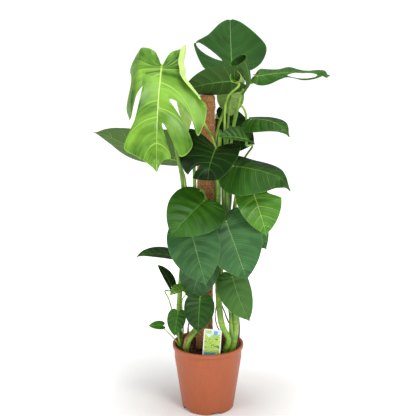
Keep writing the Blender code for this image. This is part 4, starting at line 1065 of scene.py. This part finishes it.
# Painted shade: this leaf lies in shadow behind the stalks, and its dark skin paints that shade
leaf("behind_petioles", "vine_right", 0.367, (0.038, 0.060, 0.772), (0.158, 0.070, 0.686),
     (0, -1, 0.2), 0.180, [(0.052, 0.032, 0.437), (0.046, 0.044, 0.617)],
     skin="dark", bow=0.04, fold=(4, 4), curl=(6, 6), sides=(0.62, 1.1))
leaf("pale_back", "vine_pole", 0.457, (0.072, 0.030, 0.862), (0.076, 0.034, 0.780), (0, 1, 0.2), 0.090,
     [(0.023, 0.036, 0.517), (0.023, 0.033, 0.697), (0.050, 0.024, 0.797)],
     skin="bright", fold=(6, 6), curl=(6, 6), radii=(0.0072, 0.0042))
leaf("right_mid", "vine_right", 0.327, (0.079, -0.062, 0.629), (0.258, -0.125, 0.585),
     (0.1, -0.6, 0.8), 0.190, [(0.090, -0.052, 0.397), (0.088, -0.056, 0.517)],
     bow=0.06, fold=(-8, -8), curl=(-24, -16), hook=0.30, lobes=(0.03, 0), sides=(0.85, 1.1), wave=0.004,
     droop=-0.3)
leaf("bright_right", "vine_right", 0.237, (0.138, -0.072, 0.559), (0.184, -0.125, 0.416),
     (0.1, -0.9, 0.3), 0.160, [(0.096, -0.044, 0.317), (0.106, -0.046, 0.447)],
     skin="bright", fold=(6, 8), curl=(4, 4), hook=0.1, lobes=(0.02, 0), sides=(1, 0.8),
     cuts=((0, 6, 0.50, 0.09, 1),))
leaf("front_mid", "vine_left", 0.287, (-0.013, -0.085, 0.521), (-0.116, -0.185, 0.425),
     (0.0, -0.85, 0.5), 0.182, [(-0.058, -0.048, 0.357), (-0.040, -0.056, 0.477), (-0.022, -0.058, 0.552)],
     skin="plain", bow=0.06, fold=(6, 6), curl=(-8, -12), sides=(1.04, 0.94), droop=1.0)
leaf("front_left", "vine_left", 0.217, (-0.056, -0.118, 0.442), (-0.006, -0.160, 0.265),
     (-0.1, -0.9, 0.3), 0.165, [(-0.070, -0.046, 0.277), (-0.070, -0.056, 0.377)],
     skin="blue", bow=0.04, fold=(6, 6), curl=(4, 4))
leaf("front_right", "vine_pole", 0.217, (0.058, -0.088, 0.456), (0.122, -0.160, 0.279),
     (0.05, -0.95, 0.2), 0.188, [(0.044, -0.064, 0.277), (0.048, -0.070, 0.377)],
     skin="blue", bow=0.06, fold=(4, 4), curl=(4, 4))
leaf("back_right", "vine_right", 0.217, (0.110, 0.055, 0.452), (0.198, 0.030, 0.335), (0.5, -0.8, 0.3), 0.130,
     [(0.086, 0.014, 0.277), (0.088, 0.030, 0.377)],
     skin="blue", fold=(4, 4), curl=(4, 4))
leaf("back_left", "vine_outer", 0.187, (-0.112, 0.028, 0.313), (-0.242, 0.000, 0.325), (0, -0.3, 1), 0.080,
     [(-0.094, 0.010, 0.237), (-0.092, 0.018, 0.297)],
     bow=0.06, fold=(8, 8), curl=(4, 4), hook=0.15)
leaf("low_centre", "vine_left", 0.137, (-0.016, -0.070, 0.329), (-0.057, -0.080, 0.188),
     (-0.1, -1, 0.2), 0.130, [(-0.014, -0.050, 0.197), (-0.014, -0.056, 0.267)],
     skin="blue", bow=0.03, fold=(14, 14), curl=(4, 4))
leaf("low_right", "vine_right", 0.077, (0.078, -0.090, 0.274), (0.133, -0.135, 0.140),
     (-0.55, -0.75, 0.3), 0.122, [(0.074, -0.068, 0.127), (0.070, -0.068, 0.197)],
     skin="olive", bow=0.06, fold=(8, 8), curl=(4, 4))
# Painted shade: this low leaf, in the shade of the big leaves above it, takes the darkest skin
leaf("low_heart", "vine_left", 0.132, (-0.026, -0.122, 0.209), (-0.032, -0.150, 0.110),
     (0, -0.95, 0.25), 0.098, [(-0.018, -0.070, 0.167), (-0.018, -0.084, 0.177), (-0.020, -0.104, 0.212)],
     skin="high", fold=(8, 8), curl=(6, 6), radii=(0.004, 0.003), droop=0.2)
leaf("small_heart", "vine_outer", 0.019, (-0.098, -0.090, 0.154), (-0.108, -0.120, 0.086),
     (-0.1, -0.95, 0.25), 0.062, [(-0.094, -0.032, 0.037), (-0.102, -0.050, 0.127)],
     skin="plain", fold=(10, 10), curl=(6, 6), radii=(0.003, 0.002))
leaf("small_left", "vine_outer", 0.012, (-0.149, -0.062, 0.102), (-0.195, -0.080, 0.107),
     (0, -0.8, 0.6), 0.031, [(-0.108, -0.040, 0.042)],
     skin="plain", fold=(10, 10), curl=(6, 6), radii=(0.002, 0.0015))
leaf("small_upright", "vine_outer", 0.057, (-0.121, -0.045, 0.231), (-0.166, -0.055, 0.308),
     (0.7, -0.7, 0.6), 0.048, [(-0.110, -0.024, 0.097), (-0.128, -0.034, 0.177), (-0.142, -0.040, 0.212)],
     skin="dark", fold=(18, 18), curl=(10, 10), radii=(0.0026, 0.0023), droop=1.0)
leaf("small_side", "vine_outer", 0.057, (-0.080, -0.095, 0.234), (-0.122, -0.118, 0.222),
     (0.1, -0.3, 0.95), 0.050, [(-0.084, -0.026, 0.097), (-0.086, -0.040, 0.177)],
     skin="bright", fold=(25, 25), curl=(6, 6), radii=(0.003, 0.002))


# ------------------------------------------------------------------ rolled young leaf
# The newest leaf, not yet open: one thin blade wound round itself into a cone, narrow where its own stalk
# carries it and open at its mouth, with the outer turn's edge lying along it. One lobe of the leaf below it
# is curled up in the same way, and shows its brighter inside.
ROLL_THICKNESS = 0.0009
ROLL_OUTER = 1.12  # where the sheet starts, as a share of the cone's radius
ROLL_CLOSES = 0.24  # how far it has come in after one turn
ROLL_VEINS = 6


def sheet(outer, inner):
    """The grids of a thin sheet's solid: its two faces, and strips that join them along the four edges."""
    ends = [np.stack([outer[-1], inner[-1]]), np.stack([inner[0], outer[0]])]
    sides = [np.stack([outer[:, 0], inner[:, 0]]), np.stack([inner[:, -1], outer[:, -1]])]
    return [outer, inner[::-1], *ends, *sides]


def rolled_blade(name, route, radii):
    """Along its path s the cone's radius grows; round it the sheet winds one turn, coming in by a quarter of
    that radius, so that its outer edge lies over its inner one."""
    path = spline(above_soil(route), 90)
    s = np.linspace(0, 1, len(path))
    radius = np.interp(s, [0, 0.2, 0.45, 0.8, 1.0], radii)
    inside = radius - ROLL_THICKNESS * np.clip(s / 0.2, 0, 1) - 0.0002
    grids, maps = [], []
    for skin in (radius, inside):
        grid, run, turn = (g[CAP_RINGS:-CAP_RINGS] for g in sweep(path, skin, 96, dome=0.01))
        wind = np.interp(turn, [0, 2 * math.pi], [0, 1])
        centre = path[:, None]
        grids.append(centre + (grid - centre) * (ROLL_OUTER - ROLL_CLOSES * wind[..., None]))
        maps.append(np.stack([wind * ROLL_VEINS, run / run.max()], axis=-1))
    pieces = sheet(*grids)
    flat = [np.zeros((*p.shape[:2], 2)) for p in pieces]
    flat[0], flat[1] = maps[0], maps[1][::-1]
    fields = {
        "pitch": [np.full(p.shape[:2], 0.009) for p in pieces],
        "under": [np.full(p.shape[:2], 0.0 if p is pieces[1] else 1.0) for p in pieces],
        "rib": [np.full(p.shape[:2], 9.0) for p in pieces],
    }
    return solid(name, pieces, maps=flat, fields=fields, sharp=60)


rolled = rolled_blade(
    "rolled_blade",
    [(0.108, -0.044, 0.850), (0.125, -0.060, 0.889), (0.106, -0.080, 0.937), (0.094, -0.090, 0.955)],
    [0.0030, 0.0036, 0.0100, 0.0220, 0.0290],
)
settle(rolled, SKINS["high"], "fresh_leaf", "rolled_leaf")
curled = rolled_blade(
    "curled_lobe",
    [(0.112, -0.045, 0.889), (0.106, -0.060, 0.896), (0.094, -0.078, 0.903), (0.084, -0.096, 0.905)],
    [0.0030, 0.0060, 0.0110, 0.0160, 0.0185],
)
settle(curled, SKINS["bright"], "dark_leaf", "blade_behind_top")


# ------------------------------------------------------------------ aerial roots
# Woody roots that grow from the stems' nodes down into the soil: brown, wiry and crooked. Several hang
# together at each place.
ROOT_RADIUS = (0.0011, 0.0021)
ROOT_SWAY = 0.0022
ROOT_CROOK = 0.0012
# For each bunch: the node, the stem, its steps away from the stem at heights above the soil, and its strands
ROOTS = (
    (
        "aerial_root_left", "vine_left",
        [(-0.021, 0.024, 0.127), (-0.023, 0.026, 0.087), (0.015, 0.012, -0.006)],
        (1, 2, 3),
    ),
    (
        "aerial_root_right", "vine_right",
        [(0.013, 0.018, 0.127), (0.019, 0.011, 0.077), (0.018, 0.000, 0.029), (0.0175, 0.0046, -0.006)],
        (1, 2, 3),
    ),
    (
        "aerial_root_right", "vine_pole",
        [(0.004, 0.012, 0.185), (0.020, 0.018, 0.130), (0.020, 0.020, 0.060), (0.008, 0.022, -0.006)],
        (4, 5, 6),
    ),
    (
        "aerial_root_left", "vine_pole",
        [(-0.004, 0.012, 0.190), (-0.018, 0.018, 0.120), (-0.016, 0.022, 0.050), (-0.002, 0.026, -0.006)],
        (4, 5),
    ),
)


def root_strand(name, steps, stem, seed):
    """One strand: a thin round tube whose path wanders off the root's own route, and whose radius wavers."""
    draw = np.random.default_rng(seed)
    steps = above_soil(steps)
    path = spline([(*on_stem(stem, z)[:2] + [dx, dy], z) for dx, dy, z in steps], 160)
    sway = np.linspace(0, 1, len(path))[:, None]
    path = path + draw.normal(0, ROOT_SWAY, (1, 3)) * np.sin(math.pi * sway) * [1, 1, 0]
    path = path + ROOT_CROOK * np.stack([noise(path, 0.012, seed + k) for k in range(3)], axis=-1)
    radius = draw.uniform(*ROOT_RADIUS) * (1 + 0.2 * noise(path, 0.004, seed))
    return solid(name, sweep(path, radius, 10)[:1])


def woody_root():
    """The corky skin of an old aerial root: dull grey-brown, rough, and paler where it has flaked."""
    made, tree, shader = finish("corky aerial root", roughness=0.85, ior=1.45)
    place = add(tree, "TexCoord", output="Object")
    cloud = add(tree, "TexNoise", {"Vector": place, "Scale": 320, "Detail": 5, "Roughness": 0.7})
    mixed = add(tree, "MapRange", {0: cloud, 1: 0.35, 2: 0.7})
    tint = {0: mixed, 6: colour("#3A2417"), 7: colour("#84603F")}
    add(tree, "Mix", tint, 2, shader["Base Color"], data_type="RGBA")
    add(tree, "Bump", {"Height": cloud, "Strength": 0.7, "Distance": 0.0006}, to=shader["Normal"])
    return made


cork = woody_root()
for name, vine_name, steps, strands in ROOTS:
    for number in strands:
        seed = 26 + 5 * number
        strand = root_strand(f"{name}_strand_{number}", steps, STEMS[vine_name][0], seed)
        settle(strand, cork, "root", name)


# ------------------------------------------------------------------ dry sheath
# The dead bract of an old leaf, still wrapped round one side of the left stem just above the soil: a thin
# curved sheet, dry, brown and papery, frayed at its top.
PAPER_THICKNESS = 0.0004


def dry_sheath():
    """A quarter turn round the stem. The sheet's radius is the stem's, opening out by a square law to its
    top, and the height of its top edge wavers."""
    stem, thick = STEMS["vine_left"]
    turn = np.radians(np.linspace(150, 240, 30))
    rise = np.linspace(0, 1, 40)[:, None]
    frayed = 0.105 - 0.018 * np.abs(np.sin(3.1 * turn)) - 0.020 * np.cos(turn - 3.4) ** 2
    z = 0.024 + rise * (frayed - 0.024) + SOIL_LEVEL
    x, y, _ = on_stem(stem, z)
    radius = np.interp(z, stem[:, 2], thick) + 0.0014 + 0.0050 * rise**2
    radius = radius + 0.0006 * np.sin(9 * turn)
    faces = []
    for out in (radius, radius - PAPER_THICKNESS):
        faces.append(np.stack([x + out * np.cos(turn), y + out * np.sin(turn), z], axis=-1))
    return solid("dry_sheath", sheet(*faces), sharp=60)


def papery():
    """Dead bract: dull and fibrous, brown, streaked paler up its length."""
    made, tree, shader = finish("dry papery sheath", roughness=0.8)
    place = add(tree, "TexCoord", output="Object")
    stretch = add(tree, "Mapping", {"Vector": place, "Scale": (600, 600, 30)})
    streak = add(tree, "TexNoise", {"Vector": stretch, "Scale": 1, "Detail": 3})
    mixed = add(tree, "MapRange", {0: streak, 1: 0.35, 2: 0.65})
    tint = {0: mixed, 6: colour("#7A4E2A"), 7: colour("#B98C5A")}
    add(tree, "Mix", tint, 2, shader["Base Color"], data_type="RGBA")
    return made


settle(dry_sheath(), papery(), "vine", "vine_left")


# ------------------------------------------------------------------ plant label
# A printed care card on a stake, die-cut in one piece from glossy white plastic sheet and pushed into the
# soil. Its print is a plain pattern of green waves under a pale sky, with a white border and no words.
LABEL_WIDTH = 0.058
LABEL_HEIGHT = 0.094
LABEL_THICKNESS = 0.0008
LABEL_CORNER = 0.004
LABEL_BEND = 0.0008  # the card bows forward by this in its middle
PRINT_EDGE = 0.012  # half the soft edge of a printed patch, as a share of the card
LABEL_RAISED = 0.002
LABEL_TILT = math.radians(4)  # to the right, in its own plane
LABEL_LEAN = math.radians(8)  # back
LABEL_ACROSS = 0.010
LABEL_WALL_GAP = 0.0025
STAKE_WIDTH = 0.020
STAKE_LENGTH = 0.055


def label():
    """The card's outline: half of it read at even heights, from the stake's point to the rounded corner, and
    filled across by straight rows. Both faces and the edge between them make the solid, which is then
    turned by its tilt and its lean and moved to its place."""
    high, half = LABEL_HEIGHT, LABEL_WIDTH / 2
    corner = np.linspace(0, math.pi / 2, 9)[1:]
    ups = np.r_[-STAKE_LENGTH, -STAKE_LENGTH + STAKE_WIDTH / 2, -0.0001, 0.0, LABEL_CORNER,
                np.linspace(LABEL_CORNER, high - LABEL_CORNER, 24)[1:],
                high - LABEL_CORNER + LABEL_CORNER * np.sin(corner)]
    halves = np.r_[0, STAKE_WIDTH / 2, STAKE_WIDTH / 2, half - LABEL_CORNER, np.full(24, half),
                   half - LABEL_CORNER + LABEL_CORNER * np.cos(corner)]
    share = np.linspace(-1, 1, 25)
    x = halves[:, None] * share
    z = ups[:, None] + 0 * share
    bend = LABEL_BEND * np.cos(share * math.pi / 2) + 0 * z
    front = np.stack([x, bend * -1 - LABEL_THICKNESS / 2, z], axis=-1)
    grids = sheet(front, front + [0, LABEL_THICKNESS, 0])
    maps = [np.stack([g[..., 0] / LABEL_WIDTH + 0.5, g[..., 2] / LABEL_HEIGHT], axis=-1) for g in grids]
    foot = POT_HEIGHT - HEADSPACE - STAKE_LENGTH
    wall = wall_radius(foot) - POT_WALL
    place_y = LABEL_WALL_GAP + STAKE_LENGTH * math.sin(LABEL_LEAN) - wall
    place = [LABEL_ACROSS, place_y, soil_top(LABEL_ACROSS, place_y) + LABEL_RAISED]
    ct, st = math.cos(LABEL_TILT), math.sin(LABEL_TILT)
    cl, sl = math.cos(-LABEL_LEAN), math.sin(-LABEL_LEAN)
    tilt = np.array([(ct, 0, st), (0, 1, 0), (-st, 0, ct)])
    lean = np.array([(1, 0, 0), (0, cl, -sl), (0, sl, cl)])
    return solid("care_label", [g @ (tilt @ lean).T + place for g in grids], maps=maps, sharp=30)


def printed_card():
    """Glossy white plastic sheet, printed in four colours: a pale sky with a blue patch at its upper right,
    yellow-green waves below it, and a blue foot, inside a white border."""
    made, tree, shader = finish("printed glossy card", roughness=0.22, ior=1.5)
    where = add(tree, "UVMap", uv_map="UVMap")
    x, y = (add(tree, "SeparateXYZ", {0: where}, axis) for axis in (0, 1))

    def band(value, low, high):
        """1 where the value lies between low and high, with a soft edge."""
        rise = add(tree, "MapRange", {0: value, 1: low - PRINT_EDGE, 2: low + PRINT_EDGE})
        fall = add(tree, "MapRange", {0: value, 1: high - PRINT_EDGE, 2: high + PRINT_EDGE, 3: 1, 4: 0})
        return add(tree, "Math", {0: rise, 1: fall}, operation="MULTIPLY")

    stretch = add(tree, "Mapping", {"Vector": where, "Scale": (2.2, 7.5, 1)})
    swirl = add(tree, "TexNoise", {"Vector": stretch, "Scale": 1.0, "Detail": 2, "Distortion": 1.5})
    wave = add(tree, "Math", {0: swirl, 1: 0.5, 2: y}, operation="MULTIPLY_ADD")
    patch = add(tree, "Math", {0: band(x, 0.56, 0.78), 1: band(y, 0.80, 0.94)}, operation="MULTIPLY")
    flower = add(tree, "Math", {0: band(x, 0.1, 0.42), 1: band(y, 0.84, 0.95)}, operation="MULTIPLY")
    inks = (
        (band(swirl, 0.0, 0.47), "#A9CF5A", 1.0),
        (band(swirl, 0.53, 0.60), "#E4D94C", 1.0),
        (band(swirl, 0.62, 0.9), "#3F8E3A", 1.0),
        (band(wave, 1.02, 2.0), "#CFE6EE", 1.0),
        (patch, "#4F8FD0", 0.8),
        (flower, "#B9CC4A", 0.9),
        (band(wave, 0.0, 0.40), "#4E9FC4", 1.0),
    )
    ink = colour("#6FB244")
    for mask, tint, strength in inks:
        amount = add(tree, "Math", {0: mask, 1: strength}, operation="MULTIPLY")
        ink = add(tree, "Mix", {0: amount, 6: ink, 7: colour(tint)}, 2, data_type="RGBA")
    inside = add(tree, "Math", {0: band(x, 0.06, 0.94), 1: band(y, 0.04, 0.965)}, operation="MULTIPLY")
    card = {0: inside, 6: colour("#F2F3EE"), 7: ink}
    add(tree, "Mix", card, 2, shader["Base Color"], data_type="RGBA")
    return made


settle(label(), printed_card(), "label", "plant_label")


# ------------------------------------------------------------------ floor, light and camera
# A plain white sweep that runs out of sight, under a studio's soft light: a bright band all round at eye
# level, a dim room above it, a soft ceiling, one large lamp overhead and two in front, left and right. The
# camera stands a little above the plant's middle.
FLOOR_LEVEL = -0.0006
FLOOR_ENDS = (-40.0, 40.0)
BAND_LIGHT = 1.1
WALL_LIGHT = 0.15
CEILING_LIGHT = 0.6
SENSOR_WIDTH = 36
FOCAL_SHARE = 680 / 416  # focal length over the sensor's width
EYE = (0.0, -2.2, 1.07)
PITCH = math.radians(9.9)  # downwards


def studio_floor():
    """One flat square of white paper, with painted light: it glows a little more the further it lies from the
    pot.
    """
    made = solid("floor", [np.array([[(x, y, FLOOR_LEVEL) for x in FLOOR_ENDS] for y in FLOOR_ENDS])])
    paper, tree, shader = finish(
        "white backdrop paper", roughness=0.95, specular_ior_level=0.1,
        base_color=colour("#F2F2F2"), emission_color=colour("#FFFFFF"),
    )
    place = add(tree, "TexCoord", output="Object")
    away = add(tree, "VectorMath", {0: place}, "Value", operation="LENGTH")
    # Painted light: the glow is faint near the pot, where the floor stays darker, and strong far off, so no
    # horizon shows
    glow = {0: away, 1: 0.15, 2: 1.3, 3: 0.06, 4: 0.80}
    add(tree, "MapRange", glow, to=shader["Emission Strength"])
    made.data.materials.append(paper)


def studio_room():
    """Brightness by height above the horizon: full in the band, falling to a dim wall, rising to the
    ceiling."""
    sky = bpy.data.worlds.new("studio room")
    sky.use_nodes = True
    tree = sky.node_tree
    background = tree.nodes["Background"].inputs
    background["Color"].default_value = colour("#FFFFFF")
    place = add(tree, "TexCoord", output="Generated")
    height = add(tree, "SeparateXYZ", {0: place}, 2)
    band = add(tree, "MapRange", {0: height, 1: 0.14, 2: 0.24, 3: BAND_LIGHT, 4: WALL_LIGHT})
    above = add(tree, "MapRange", {0: height, 1: 0.45, 2: 1.0, 3: 0.0, 4: CEILING_LIGHT})
    add(tree, "Math", {0: band, 1: above}, to=background["Strength"], operation="ADD")
    bpy.context.scene.world = sky


def lamp(name, place, target, size, power, tint, mirrored=True):
    """A round soft lamp of this size in metres and power in watts, mirrored in gloss or not."""
    made = bpy.data.objects.new(name, bpy.data.lights.new(name, "AREA"))
    made.data.shape = "DISK"
    made.data.size = size
    made.data.energy = power
    made.data.color = colour(tint)[:3]
    made.visible_glossy = mirrored
    bpy.context.scene.collection.objects.link(made)
    aim(made, place, target)


def aim(made, place, target):
    """Stands the object at place and turns its own -Z to the target, its Y up."""
    made.location = place
    made.rotation_euler = (Vector(target) - Vector(place)).to_track_quat("-Z", "Y").to_euler()


studio_floor()
studio_room()
bpy.context.scene.view_settings.view_transform = "Standard"
lamp("key", (1.1, -2.0, 2.9), (0, 0, 0.8), 1.0, 44, "#FFFDF8")
lamp("top", (0, -0.3, 3.3), (0, 0, 0), 1.5, 46, "#FFFFFF", mirrored=False)
lamp("fill", (-2.4, -2.0, 1.8), (0, 0, 0.7), 1.6, 16, "#F8FBFF")

camera = bpy.data.objects.new("camera", bpy.data.cameras.new("camera"))
camera.data.sensor_width = SENSOR_WIDTH
camera.data.lens = SENSOR_WIDTH * FOCAL_SHARE
bpy.context.scene.collection.objects.link(camera)
aim(camera, EYE, (0, EYE[1] + math.cos(PITCH), EYE[2] - math.sin(PITCH)))
bpy.context.scene.camera = camera


def corners(box):
    """A box's two corners as plain lists of numbers."""
    return [[float(x) for x in corner] for corner in box]
